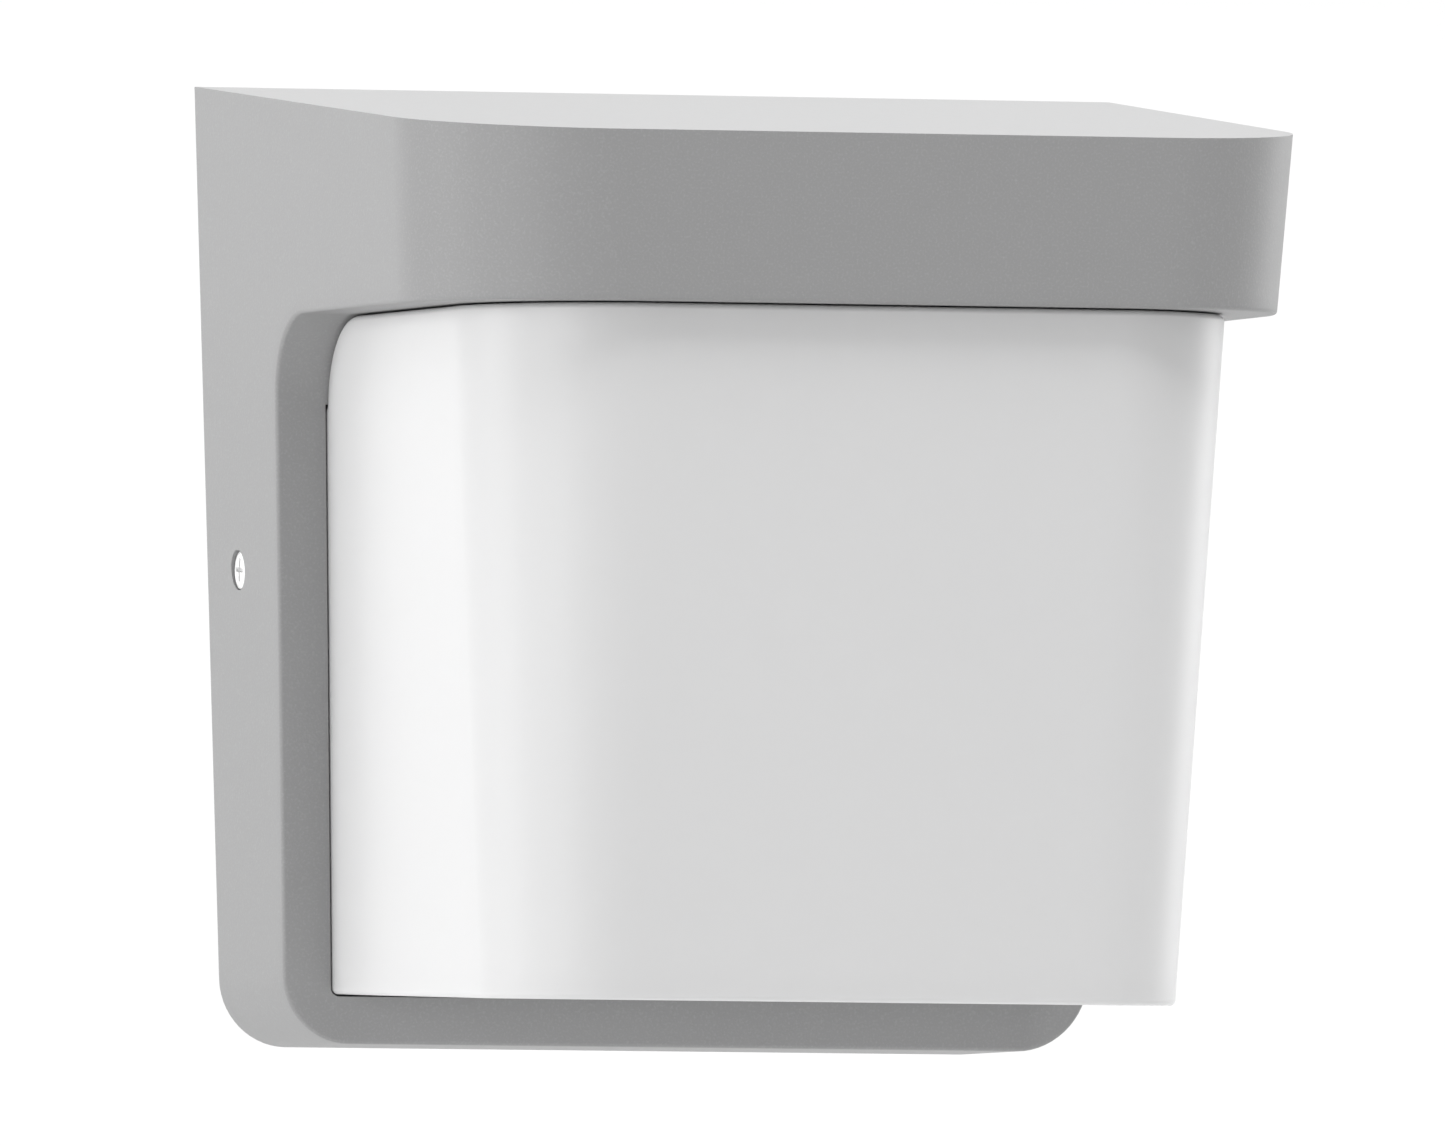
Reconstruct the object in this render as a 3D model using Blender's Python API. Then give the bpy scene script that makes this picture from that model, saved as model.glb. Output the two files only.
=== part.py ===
"""Outdoor wall lantern: die-cast housing with a deep hood, opal diffuser, wall bracket and screw lamp.

Metres, +Z up, the wall is the plane Y = 0 and the lantern stands out towards -Y.
The origin lies on the back of the wall bracket, in the middle of its cross strip.
"""
import math

import bmesh
import bpy
from mathutils import Matrix, Vector

# ---- height of the origin above the lowest edge of the housing
ORIGIN_HEIGHT = 0.100

# ---- housing casting, depths are measured from its rear rim
REAR_GAP = 0.001
HEIGHT = 0.199
TOP_HALF_WIDTH = 0.100
SIDE_DRAFT = 0.061
PLAN_TAPER = 0.0266
HOOD_DEPTH = 0.159
HOOD_CORNER = 0.037
UNDERSIDE_FRONT_Z = 0.164
UNDERSIDE_SLOPE = 0.088
FRAME_DEPTH = 0.0398
FRAME_LEAN = 0.042
BOTTOM_SLOPE = 0.084
LOWER_CORNER = 0.014
COVE_RADIUS = 0.0195
WALL = 0.003
EDGE_ROUND = 0.0008

# ---- opal diffuser
DIFFUSER_HALF_WIDTH = 0.0770
DIFFUSER_SIDE_DRAFT = 0.0556
DIFFUSER_PLAN_TAPER = 0.027
DIFFUSER_BOTTOM_Z = 0.0136
DIFFUSER_BOTTOM_SLOPE = 0.058
DIFFUSER_DEPTH = 0.1548
DIFFUSER_CORNER = 0.024
DIFFUSER_CORNER_GROWTH = 0.05
DIFFUSER_EDGE = 0.0014
DIFFUSER_WALL = 0.0025
SPIGOT_TOP_Z = 0.1355
FLANGE_WIDTH = 0.0025
FLANGE_THICKNESS = 0.002
GASKET_THICKNESS = 0.0015

# ---- running gap between neighbouring parts
GAP = 0.0003
SHADOW_GAP = 0.0004

# ---- side lock screws
LOCK_DEPTH = 0.019
LOCK_Z = 0.100
LOCK_HEAD_RADIUS = 0.0039
LOCK_RECESS_RADIUS = 0.0042
LOCK_RECESS_FLOOR_X = 0.0894
LOCK_HEAD_TOP_X = 0.0932
LOCK_CROWN_SHARE = 0.12
LOCK_HEAD_BOTTOM_X = 0.0908
LOCK_TIP_X = 0.0833
LOCK_BOSS_X = 0.0845
LOCK_BOSS_RADIUS = 0.006
LOCK_SHANK_RADIUS = 0.002
LOCK_BORE_RADIUS = 0.0023

# ---- wall bracket
SHEET = 0.0015
COLUMN_HALF_WIDTH = 0.035
COLUMN_BOTTOM_Z = 0.010
COLUMN_TOP_Z = 0.168
STRIP_HALF_WIDTH = 0.083
STRIP_HALF_HEIGHT = 0.016
EAR_DEPTH = 0.029
EAR_HALF_HEIGHT = 0.010
WALL_SLOT_X = 0.060
WALL_SLOT_RADIUS = 0.0025
CABLE_Z = 0.024
CABLE_HOLE_RADIUS = 0.0075

# ---- lamp holder, lamp and their common axis
LAMP_Z = 0.088
HOLDER_RADIUS = 0.0195
HOLDER_MOUTH_Y = -0.046
HOLDER_CAVITY_RADIUS = 0.0150
HOLDER_FLOOR_Y = -0.0140
SHELL_OUTER_RADIUS = 0.0146
SHELL_INNER_RADIUS = 0.0138
CAP_CREST_RADIUS = 0.01315
CAP_ROOT_RADIUS = 0.0122
THREAD_PITCH = 0.003629
GLOBE_RADIUS = 0.0225

# ---- terminal block and leads
BLOCK_Z = 0.046
BLOCK_HALF_HEIGHT = 0.0085
POLE_SPACING = 0.010
LEAD_RADIUS = 0.0010

# ---- diffuser clips
CLIP_Z = (0.060, 0.120)
POST_RADIUS = 0.0027
POST_INSET = 0.00255


def remove_everything():
    """Empty the scene of objects."""
    for item in list(bpy.data.objects):
        bpy.data.objects.remove(item, do_unlink=True)


# ---------------------------------------------------------------- materials

def finish(name, color, roughness, metallic=0.0, transmission=0.0):
    """One Principled material for a named finish."""
    material = bpy.data.materials.get(name)
    if material:
        return material
    material = bpy.data.materials.new(name)
    material.use_nodes = True
    shader = material.node_tree.nodes["Principled BSDF"]
    shader.inputs["Base Color"].default_value = (*color, 1.0)
    shader.inputs["Roughness"].default_value = roughness
    shader.inputs["Metallic"].default_value = metallic
    shader.inputs["Transmission Weight"].default_value = transmission
    material.diffuse_color = (*color, 1.0)
    return material


def grey_powder_coat():
    """Fine light grey powder coat on the casting."""
    return finish("grey_powder_coat", (0.40, 0.40, 0.40), 0.55)


def opal_plastic():
    """Opal acrylic of the diffuser."""
    return finish("opal_plastic", (0.86, 0.86, 0.86), 0.30)


def lamp_opal():
    """Frosted plastic of the lamp's globe."""
    return finish("lamp_opal", (0.86, 0.86, 0.86), 0.35)


def black_rubber():
    """Black EPDM seals."""
    return finish("black_rubber", (0.03, 0.03, 0.03), 0.80)


def zinc_steel():
    """Bright zinc-plated steel."""
    return finish("zinc_steel", (0.62, 0.63, 0.65), 0.35, 1.0)


def stainless_steel():
    """Stainless steel screws."""
    return finish("stainless_steel", (0.72, 0.72, 0.72), 0.28, 1.0)


def brass():
    """Bare brass contacts."""
    return finish("brass", (0.72, 0.53, 0.24), 0.32, 1.0)


def nickel():
    """Nickel-plated lamp cap."""
    return finish("nickel_plate", (0.70, 0.68, 0.64), 0.25, 1.0)


def white_ceramic():
    """Glazed white porcelain of the lamp holder."""
    return finish("white_ceramic", (0.85, 0.84, 0.80), 0.25)


def white_plastic():
    """White moulded plastic."""
    return finish("white_plastic", (0.82, 0.82, 0.80), 0.40)


def black_glass():
    """Black glass insulator of the lamp cap."""
    return finish("black_glass", (0.02, 0.02, 0.02), 0.15)


def nylon():
    """Natural nylon washers."""
    return finish("natural_nylon", (0.80, 0.79, 0.74), 0.45)


def sleeve(name, color):
    """Coloured insulation of a lead."""
    return finish(name, color, 0.45)


# ---------------------------------------------------------------- mesh helpers

def world(x, depth, z):
    """Point at a depth in front of the housing's rear rim, z above its lowest edge."""
    return Vector((x, -(REAR_GAP + depth), z - ORIGIN_HEIGHT))


def place(x, y, z):
    """Point with y from the wall and z above the housing's lowest edge."""
    return Vector((x, y, z - ORIGIN_HEIGHT))


def to_object(name, bm, material, smooth=False):
    """Store a bmesh as a named object with outward faces."""
    bmesh.ops.recalc_face_normals(bm, faces=bm.faces)
    mesh = bpy.data.meshes.new(name)
    bm.to_mesh(mesh)
    bm.free()
    mesh.materials.append(material)
    for polygon in mesh.polygons:
        polygon.use_smooth = smooth
    item = bpy.data.objects.new(name, mesh)
    bpy.context.scene.collection.objects.link(item)
    return item


def skin(name, rings, material, smooth=False, closed=False):
    """Skin a list of equal rings; ends are capped, or joined up when closed."""
    bm = bmesh.new()
    rows = [[bm.verts.new(point) for point in ring] for ring in rings]
    count = len(rows[0])
    pairs = list(zip(rows, rows[1:]))
    if closed:
        pairs.append((rows[-1], rows[0]))
    for low, high in pairs:
        for i in range(count):
            j = (i + 1) % count
            bm.faces.new((low[i], low[j], high[j], high[i]))
    if not closed:
        bm.faces.new(rows[0])
        bm.faces.new(rows[-1])
    return to_object(name, bm, material, smooth)


def box(name, low, high, material):
    """Rectangular block between two corners."""
    (x0, y0, z0), (x1, y1, z1) = low, high
    rings = [[Vector((x0, y0, z)), Vector((x1, y0, z)), Vector((x1, y1, z)), Vector((x0, y1, z))] for z in (z0, z1)]
    return skin(name, rings, material)


def turned(name, profile, origin, axis, material, segments=24, tube=False):
    """Turn a profile of (radius, height) pairs about an axis; zero radii at the ends become poles."""
    axis = Vector(axis).normalized()
    frame = axis.to_track_quat("Z", "Y").to_matrix().to_4x4()
    matrix = Matrix.Translation(Vector(origin)) @ frame
    bm = bmesh.new()
    rows = []
    for radius, height in profile:
        if radius == 0.0:
            rows.append([bm.verts.new(matrix @ Vector((0.0, 0.0, height)))])
            continue
        row = []
        for i in range(segments):
            angle = 2.0 * math.pi * i / segments
            row.append(bm.verts.new(matrix @ Vector((radius * math.cos(angle), radius * math.sin(angle), height))))
        rows.append(row)
    pairs = list(zip(rows, rows[1:]))
    if tube:
        pairs.append((rows[-1], rows[0]))
    for low, high in pairs:
        bridge(bm, low, high, segments)
    if not tube:
        for row in (rows[0], rows[-1]):
            if len(row) > 1:
                bm.faces.new(row)
    return to_object(name, bm, material, True)


def bridge(bm, low, high, segments):
    """Faces between two rows of a turned piece, either of which may be a pole."""
    for i in range(segments):
        j = (i + 1) % segments
        if len(low) == 1:
            bm.faces.new((low[0], high[j], high[i]))
        elif len(high) == 1:
            bm.faces.new((low[i], low[j], high[0]))
        else:
            bm.faces.new((low[i], low[j], high[j], high[i]))


def combine(target, cutter, operation="DIFFERENCE"):
    """Boolean one object with another and drop the second."""
    cutter.hide_render = True
    cutter.display_type = "WIRE"
    modifier = target.modifiers.new("cut", "BOOLEAN")
    modifier.operation = operation
    modifier.solver = "EXACT"
    modifier.object = cutter
    bpy.context.view_layer.update()
    graph = bpy.context.evaluated_depsgraph_get()
    mesh = bpy.data.meshes.new_from_object(target.evaluated_get(graph))
    target.modifiers.clear()
    old = target.data
    target.data = mesh
    mesh.name = target.name
    bpy.data.meshes.remove(old)
    bpy.data.objects.remove(cutter, do_unlink=True)
    return target


def shade_by_angle(item, degrees=32.0):
    """Shade smooth across soft edges only."""
    mesh = item.data
    for polygon in mesh.polygons:
        polygon.use_smooth = True
    mesh.set_sharp_from_angle(angle=math.radians(degrees))
    return item


# ---------------------------------------------------------------- housing shape

def half_width(depth, z):
    """Half width of the housing's outside at a depth and height."""
    return TOP_HALF_WIDTH - PLAN_TAPER * depth - SIDE_DRAFT * (HEIGHT - z)


def frame_face(z):
    """Depth of the frame's front face, which leans forward towards the top."""
    return FRAME_DEPTH + FRAME_LEAN * z


def underside(depth):
    """Height of the hood's underside, which rises towards the front."""
    return UNDERSIDE_FRONT_Z - UNDERSIDE_SLOPE * (HOOD_DEPTH - depth)


def cove_centre():
    """Centre of the cove between frame face and underside, as (depth, z)."""
    push_depth = COVE_RADIUS * math.hypot(1.0, FRAME_LEAN)
    push_z = COVE_RADIUS * math.hypot(1.0, UNDERSIDE_SLOPE)
    base_z = UNDERSIDE_FRONT_Z - UNDERSIDE_SLOPE * HOOD_DEPTH - push_z
    depth = (FRAME_DEPTH + push_depth + FRAME_LEAN * base_z) / (1.0 - FRAME_LEAN * UNDERSIDE_SLOPE)
    return depth, base_z + UNDERSIDE_SLOPE * depth


def plan_ring(inset, level, narrowing, back, steps):
    """One plan outline of the housing envelope, at a height above the sloping bottom or a flat height."""
    radius = HOOD_CORNER - inset
    front = HOOD_DEPTH - inset
    flat_z, above_bottom = level
    ring = []
    for side in (-1.0, 1.0):
        points = [(-back, None)]
        points += [(front - radius, None)]
        for i in range(1, steps + 1):
            angle = 0.5 * math.pi * i / steps
            points.append((front - radius + radius * math.sin(angle), radius * (1.0 - math.cos(angle))))
        row = []
        for depth, pull in points:
            z = flat_z if flat_z is not None else above_bottom + BOTTOM_SLOPE * max(depth, 0.0)
            half = half_width(max(depth, 0.0), z) - inset - narrowing - (pull or 0.0)
            row.append(world(side * half, depth, z))
        ring += row if side < 0 else row[::-1]
    return ring


def envelope(name, inset, back, corner_steps, plan_steps):
    """Drafted block with rounded lower edges and rounded front corners, before the frame is cut back."""
    radius = LOWER_CORNER - inset
    rings = []
    for i in range(corner_steps + 1):
        angle = 0.5 * math.pi * i / corner_steps
        lift = inset + radius * (1.0 - math.cos(angle))
        rings.append(plan_ring(inset, (None, lift), radius * (1.0 - math.sin(angle)), back, plan_steps))
    rings.append(plan_ring(inset, (HEIGHT - inset, None), 0.0, back, plan_steps))
    return skin(name, rings, grey_powder_coat())


def side_cut(name, inset, steps):
    """Prism that removes the space in front of the frame and under the hood, with the cove."""
    centre_depth, centre_z = cove_centre()
    radius = COVE_RADIUS + inset
    lean = math.atan(FRAME_LEAN)
    rise = math.atan(UNDERSIDE_SLOPE)
    outline = [(frame_face(-0.02) - inset, -0.02)]
    start = math.pi + lean * -1.0
    stop = 0.5 * math.pi + rise
    for i in range(steps + 1):
        angle = start + (stop - start) * i / steps
        outline.append((centre_depth + radius * math.cos(angle), centre_z + radius * math.sin(angle)))
    far = HOOD_DEPTH + 0.02
    outline.append((far, underside(far) + inset * math.hypot(1.0, UNDERSIDE_SLOPE)))
    outline.append((far, -0.02))
    rings = [[world(x, depth, z) for depth, z in outline] for x in (-0.12, 0.12)]
    return skin(name, rings, grey_powder_coat())


def edges_to_round(mesh_object):
    """Round the outer edge that runs round the frame face, the cove and the hood's underside."""
    centre_depth, centre_z = cove_centre()

    def on_cut(point):
        depth, z = -point.y - REAR_GAP, point.z + ORIGIN_HEIGHT
        reach = math.hypot(depth - centre_depth, z - centre_z)
        on_face = abs(depth - frame_face(z)) < 2e-5 and z < centre_z + 0.001
        on_under = abs(z - underside(depth)) < 2e-5 and depth > centre_depth - 0.001
        on_cove = abs(reach - COVE_RADIUS) < 6e-5 and depth < centre_depth + 0.001 and z > centre_z - 0.001
        return on_face or on_under or on_cove

    bm = bmesh.new()
    bm.from_mesh(mesh_object.data)
    chosen = []
    for edge in bm.edges:
        if not all(on_cut(vert.co) for vert in edge.verts):
            continue
        normals = [face.normal for face in edge.link_faces]
        if len(normals) == 2 and normals[0].angle(normals[1]) > math.radians(50.0):
            chosen.append(edge)
    bmesh.ops.bevel(bm, geom=chosen, offset=EDGE_ROUND, segments=2, profile=0.5, affect="EDGES")
    bm.to_mesh(mesh_object.data)
    bm.free()


def clip_x(z, depth=0.034):
    """Sideways place of a clip post, just inside the side wall."""
    return half_width(depth, z) - WALL - POST_INSET


def tilted(x, z, offset):
    """Point at an offset in front of the leaning frame face."""
    return world(x, frame_face(z) + offset, z)


def frame_normal():
    """Direction out of the frame face."""
    return Vector((0.0, -1.0, -FRAME_LEAN)).normalized()


def build_housing():
    """Die-cast housing: frame, hood, screw bosses and clip posts in one casting."""
    housing = envelope("housing_casting", 0.0, 0.0, 6, 10)
    combine(housing, side_cut("front_cut", 0.0, 8))
    edges_to_round(housing)
    core = envelope("core", WALL, 0.010, 5, 8)
    combine(core, side_cut("core_cut", WALL, 8))
    combine(housing, core)
    for side in (-1.0, 1.0):
        add_lock_boss(housing, side)
        for z in CLIP_Z:
            add_clip_post(housing, side, z)
    opening_rings = [spigot_ring(SHADOW_GAP, offset) for offset in (-0.0033, 0.004)]
    combine(housing, skin("opening", opening_rings, grey_powder_coat()))
    for side in (-1.0, 1.0):
        bore_lock_boss(housing, side)
    return shade_by_angle(housing)


def add_lock_boss(housing, side):
    """Boss inside the side wall that carries the lock screw."""
    wall_x = half_width(LOCK_DEPTH, LOCK_Z) - 0.5 * WALL
    origin = world(side * LOCK_BOSS_X, LOCK_DEPTH, LOCK_Z)
    profile = [(0.0, 0.0), (LOCK_BOSS_RADIUS, 0.0), (LOCK_BOSS_RADIUS, wall_x - LOCK_BOSS_X), (0.0, wall_x - LOCK_BOSS_X)]
    combine(housing, turned("boss", profile, origin, (side, 0, 0), grey_powder_coat(), 24), "UNION")


def bore_lock_boss(housing, side):
    """Through bore and head recess of the lock screw."""
    origin = world(side * (LOCK_BOSS_X - 0.002), LOCK_DEPTH, LOCK_Z)
    floor = LOCK_RECESS_FLOOR_X - LOCK_BOSS_X + 0.002
    outside = 0.014
    profile = [(0.0, 0.0), (LOCK_BORE_RADIUS, 0.0), (LOCK_BORE_RADIUS, floor)]
    profile += [(LOCK_RECESS_RADIUS, floor), (LOCK_RECESS_RADIUS, outside), (0.0, outside)]
    combine(housing, turned("bore", profile, origin, (side, 0, 0), grey_powder_coat(), 32))


def add_clip_post(housing, side, z):
    """Post behind the frame that takes a clip screw, with its blind hole."""
    back = -(WALL + GAP + GASKET_THICKNESS + GAP + FLANGE_THICKNESS)
    origin = tilted(side * clip_x(z), z, back)
    length = -back - WALL + 0.001
    post = [(0.0, 0.0), (POST_RADIUS, 0.0), (POST_RADIUS, length), (0.0, length)]
    combine(housing, turned("post", post, origin, frame_normal(), grey_powder_coat(), 16), "UNION")
    start = tilted(side * clip_x(z), z, back - 0.001)
    hole = [(0.0, 0.0), (0.00145, 0.0), (0.00145, 0.0048), (0.0, 0.0048)]
    combine(housing, turned("hole", hole, start, frame_normal(), grey_powder_coat(), 12))


# ---------------------------------------------------------------- diffuser shape

def diffuser_half_width(depth, z):
    """Half width of the diffuser's outside."""
    reach = max(depth - frame_face(z), 0.0)
    return DIFFUSER_HALF_WIDTH + DIFFUSER_SIDE_DRAFT * (z - DIFFUSER_BOTTOM_Z) - DIFFUSER_PLAN_TAPER * reach


def diffuser_top(depth, inset):
    """Height of the diffuser's top wall, rounded down at the back to follow the cove."""
    centre_depth, centre_z = cove_centre()
    radius = COVE_RADIUS - SHADOW_GAP - inset
    if depth < centre_depth:
        away = min(centre_depth - depth, radius)
        return centre_z + math.sqrt(max(radius * radius - away * away, 0.0))
    return underside(depth) - (SHADOW_GAP + inset) * math.hypot(1.0, UNDERSIDE_SLOPE)


def diffuser_bottom(depth, inset):
    """Height of the diffuser's bottom wall, which rises towards the front."""
    reach = max(depth - FRAME_DEPTH, 0.0)
    return DIFFUSER_BOTTOM_Z + DIFFUSER_BOTTOM_SLOPE * reach + inset


def outline_xz(half_at, bottom, top, edge):
    """Closed section outline with small rounded corners, as (x, z) pairs."""
    right = []
    for i in range(4):
        angle = 0.5 * math.pi * i / 3
        z = bottom + edge * (1.0 - math.cos(angle))
        right.append((half_at(z) - edge * (1.0 - math.sin(angle)), z))
    for i in range(1, 5):
        z = bottom + edge + (top - bottom - 2.0 * edge) * i / 5
        right.append((half_at(z), z))
    for i in range(4):
        angle = 0.5 * math.pi * i / 3
        z = top - edge * (1.0 - math.sin(angle))
        right.append((half_at(z) - edge * (1.0 - math.cos(angle)), z))
    return right + [(-x, z) for x, z in reversed(right)]


def corner_pull(depth, z, inset):
    """How far the rounded front corner draws the side in."""
    radius = DIFFUSER_CORNER + DIFFUSER_CORNER_GROWTH * z - inset
    start = DIFFUSER_DEPTH - inset - radius
    if depth <= start:
        return 0.0
    reach = min(depth - start, radius)
    return radius - math.sqrt(max(radius * radius - reach * reach, 0.0))


def diffuser_ring(depth, inset, lean_back=0.0):
    """Section of the diffuser at a depth; near the frame the section leans with the frame face."""
    edge = max(DIFFUSER_EDGE - inset, 0.0005)

    def depth_at(z):
        return depth + lean_back * (frame_face(z) - frame_face(SPIGOT_TOP_Z))

    low = diffuser_bottom(depth_at(DIFFUSER_BOTTOM_Z), inset)
    high = diffuser_top(depth_at(SPIGOT_TOP_Z), inset)

    def half_at(z):
        here = depth_at(z)
        return diffuser_half_width(here, z) - inset - corner_pull(here, z, inset)

    return [world(x, depth_at(z), z) for x, z in outline_xz(half_at, low, high, edge)]


def spigot_ring(grow, offset):
    """Outline of the spigot through the frame, grown by a clearance, at an offset from the frame face."""
    edge = DIFFUSER_EDGE + grow if grow > -DIFFUSER_EDGE else 0.0005

    def half_at(z):
        return diffuser_half_width(0.0, z) + grow

    outline = outline_xz(half_at, DIFFUSER_BOTTOM_Z - grow, SPIGOT_TOP_Z + grow, max(edge, 0.0005))
    return [tilted(x, z, offset) for x, z in outline]


def diffuser_depths(inset):
    """Depths of the sections, close together where the shape curves."""
    centre_depth = cove_centre()[0]
    radius = COVE_RADIUS - SHADOW_GAP - inset
    first = frame_face(SPIGOT_TOP_Z) + SHADOW_GAP
    start_angle = math.asin(min((centre_depth - first) / radius, 1.0))
    depths = [centre_depth - radius * math.sin(start_angle * (1.0 - i / 6)) for i in range(7)]
    corner = DIFFUSER_CORNER + DIFFUSER_CORNER_GROWTH * 0.155 - inset
    front = DIFFUSER_DEPTH - inset
    depths += [0.5 * (centre_depth + front - corner)]
    depths += [front - corner + corner * math.sin(0.5 * math.pi * i / 9) for i in range(10)]
    return depths


def build_diffuser():
    """Opal box, open at the back, with a spigot through the frame and a flange behind it."""
    flange_front = -(WALL + GAP + GASKET_THICKNESS + GAP)
    flange_back = flange_front - FLANGE_THICKNESS
    first_depth = diffuser_depths(0.0)[0]
    outer = []
    for depth in reversed(diffuser_depths(0.0)):
        weight = max(0.0, 1.0 - (depth - first_depth) / 0.020)
        outer.append(diffuser_ring(depth, 0.0, weight))
    rings = outer
    rings.append(spigot_ring(0.0, SHADOW_GAP))
    rings.append(spigot_ring(0.0, flange_front))
    rings.append(spigot_ring(FLANGE_WIDTH, flange_front))
    rings.append(spigot_ring(FLANGE_WIDTH, flange_back))
    rings.append(spigot_ring(-DIFFUSER_WALL, flange_back))
    rings.append(spigot_ring(-DIFFUSER_WALL, 0.002))
    for depth in diffuser_depths(DIFFUSER_WALL):
        if depth > first_depth + 0.0045:
            rings.append(diffuser_ring(depth, DIFFUSER_WALL, max(0.0, 1.0 - (depth - first_depth) / 0.020)))
    diffuser = skin("opal_diffuser", rings, opal_plastic())
    return shade_by_angle(diffuser, 40.0)


def build_diffuser_gasket():
    """Flat rubber ring between the diffuser flange and the back of the frame."""
    front = -(WALL + GAP)
    back = front - GASKET_THICKNESS
    inner, outer = SHADOW_GAP, FLANGE_WIDTH
    rings = [spigot_ring(outer, front), spigot_ring(outer, back), spigot_ring(inner, back), spigot_ring(inner, front)]
    return skin("diffuser_gasket", rings, black_rubber(), closed=True)


def build_clips():
    """Flat steel clips that hold the flange, each with its screw."""
    back = -(WALL + GAP + GASKET_THICKNESS + GAP + FLANGE_THICKNESS)
    names = {(-1.0, 0): "lower_left", (1.0, 0): "lower_right", (-1.0, 1): "upper_left", (1.0, 1): "upper_right"}
    for (side, row), place_name in names.items():
        z = CLIP_Z[row]
        centre = clip_x(z)
        low_x, high_x = centre - 0.0066, centre + 0.0012
        rings = []
        for offset in (back - GAP, back - GAP - 0.001):
            corners = [(low_x, z - 0.005), (high_x, z - 0.005), (high_x, z + 0.005), (low_x, z + 0.005)]
            rings.append([tilted(side * x, height, offset) for x, height in corners])
        clip = skin(f"diffuser_clip_{place_name}", rings, zinc_steel())
        hole = [(0.0, 0.0), (0.0016, 0.0), (0.0016, 0.006), (0.0, 0.006)]
        origin = tilted(side * centre, z, back - 0.004)
        combine(clip, turned("clip_hole", hole, origin, frame_normal(), zinc_steel(), 12))
        seat = tilted(side * centre, z, back - GAP - 0.001 - GAP)
        pan_screw(f"clip_screw_{place_name}", seat, -frame_normal(), 0.0022, 0.0016, 0.00115, 0.0048)


# ---------------------------------------------------------------- fasteners

def pan_screw(name, seat, outward, head_radius, head_height, shank_radius, length, segments=16, crown_share=0.28):
    """Pan-head screw with a cross recess; the seat is the underside of the head."""
    crown = crown_share * head_height
    profile = [(0.0, -length), (shank_radius * 0.8, -length), (shank_radius, -length + shank_radius * 0.4)]
    profile += [(shank_radius, 0.0), (head_radius, 0.0), (head_radius, head_height - crown)]
    profile += [(head_radius * 0.82, head_height - 0.25 * crown), (0.0, head_height)]
    screw = turned(name, profile, seat, outward, stainless_steel(), segments)
    cross_recess(screw, seat, outward, head_radius * 0.62, head_radius * 0.12, head_height, 0.42 * head_height)
    return shade_by_angle(screw)


def cross_recess(screw, seat, outward, reach, half, top, depth):
    """Sink a cross into the head."""
    outward = Vector(outward).normalized()
    frame = Matrix.Translation(Vector(seat)) @ outward.to_track_quat("Z", "Y").to_matrix().to_4x4()
    plus = [(reach, -half), (reach, half), (half, half), (half, reach), (-half, reach), (-half, half)]
    plus += [(-reach, half), (-reach, -half), (-half, -half), (-half, -reach), (half, -reach), (half, -half)]
    rings = [[frame @ Vector((x, y, z)) for x, y in plus] for z in (top - depth, top + 0.002)]
    combine(screw, skin("cross", rings, stainless_steel()))


def build_lock_screws():
    """Screws in the two sides that pinch the bracket's ears, each on a nylon washer."""
    for side, word in ((-1.0, "left"), (1.0, "right")):
        seat = world(side * LOCK_HEAD_BOTTOM_X, LOCK_DEPTH, LOCK_Z)
        head = LOCK_HEAD_TOP_X - LOCK_HEAD_BOTTOM_X
        length = LOCK_HEAD_BOTTOM_X - LOCK_TIP_X
        name = f"lock_screw_{word}"
        sizes = (LOCK_HEAD_RADIUS, head, LOCK_SHANK_RADIUS, length)
        pan_screw(name, seat, (side, 0, 0), *sizes, segments=32, crown_share=LOCK_CROWN_SHARE)
        low, high = LOCK_RECESS_FLOOR_X + GAP, LOCK_HEAD_BOTTOM_X - GAP
        profile = [(0.0024, 0.0), (0.0037, 0.0), (0.0037, high - low), (0.0024, high - low)]
        origin = world(side * low, LOCK_DEPTH, LOCK_Z)
        turned(f"lock_washer_{word}", profile, origin, (side, 0, 0), nylon(), 24, tube=True)


# ---------------------------------------------------------------- wall bracket

def build_bracket():
    """Galvanised cross-shaped plate with an ear bent forward at each side."""
    material = zinc_steel()
    low_z, high_z = LOCK_Z - STRIP_HALF_HEIGHT, LOCK_Z + STRIP_HALF_HEIGHT
    bracket = box(
        "wall_bracket",
        place(-COLUMN_HALF_WIDTH, -SHEET, COLUMN_BOTTOM_Z),
        place(COLUMN_HALF_WIDTH, 0.0, COLUMN_TOP_Z),
        material,
    )
    ear_top, ear_low = LOCK_Z + EAR_HALF_HEIGHT, LOCK_Z - EAR_HALF_HEIGHT
    bend = 0.003
    outline = []
    for side in (-1.0, 1.0):
        outer = [(side * STRIP_HALF_WIDTH, -EAR_DEPTH)]
        inner = [(side * (STRIP_HALF_WIDTH - SHEET), -EAR_DEPTH)]
        for i in range(5):
            angle = 0.5 * math.pi * i / 4
            outer.append((side * (STRIP_HALF_WIDTH - bend + bend * math.cos(angle)), -bend + bend * math.sin(angle)))
            radius = bend - SHEET
            inner.append((side * (STRIP_HALF_WIDTH - bend + radius * math.cos(angle)), -bend + radius * math.sin(angle)))
        outline.append((outer, inner))
    (left_outer, left_inner), (right_outer, right_inner) = outline
    loop = left_outer + right_outer[::-1] + right_inner + left_inner[::-1]
    rings = [[place(x, y, z) for x, y in loop] for z in (ear_low, ear_top)]
    combine(bracket, skin("strip", rings, material), "UNION")
    strip = box(
        "cross_strip",
        place(-STRIP_HALF_WIDTH + 0.008, -SHEET, low_z),
        place(STRIP_HALF_WIDTH - 0.008, 0.0, high_z),
        material,
    )
    combine(bracket, strip, "UNION")
    cut_bracket_holes(bracket)
    return bracket


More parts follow.
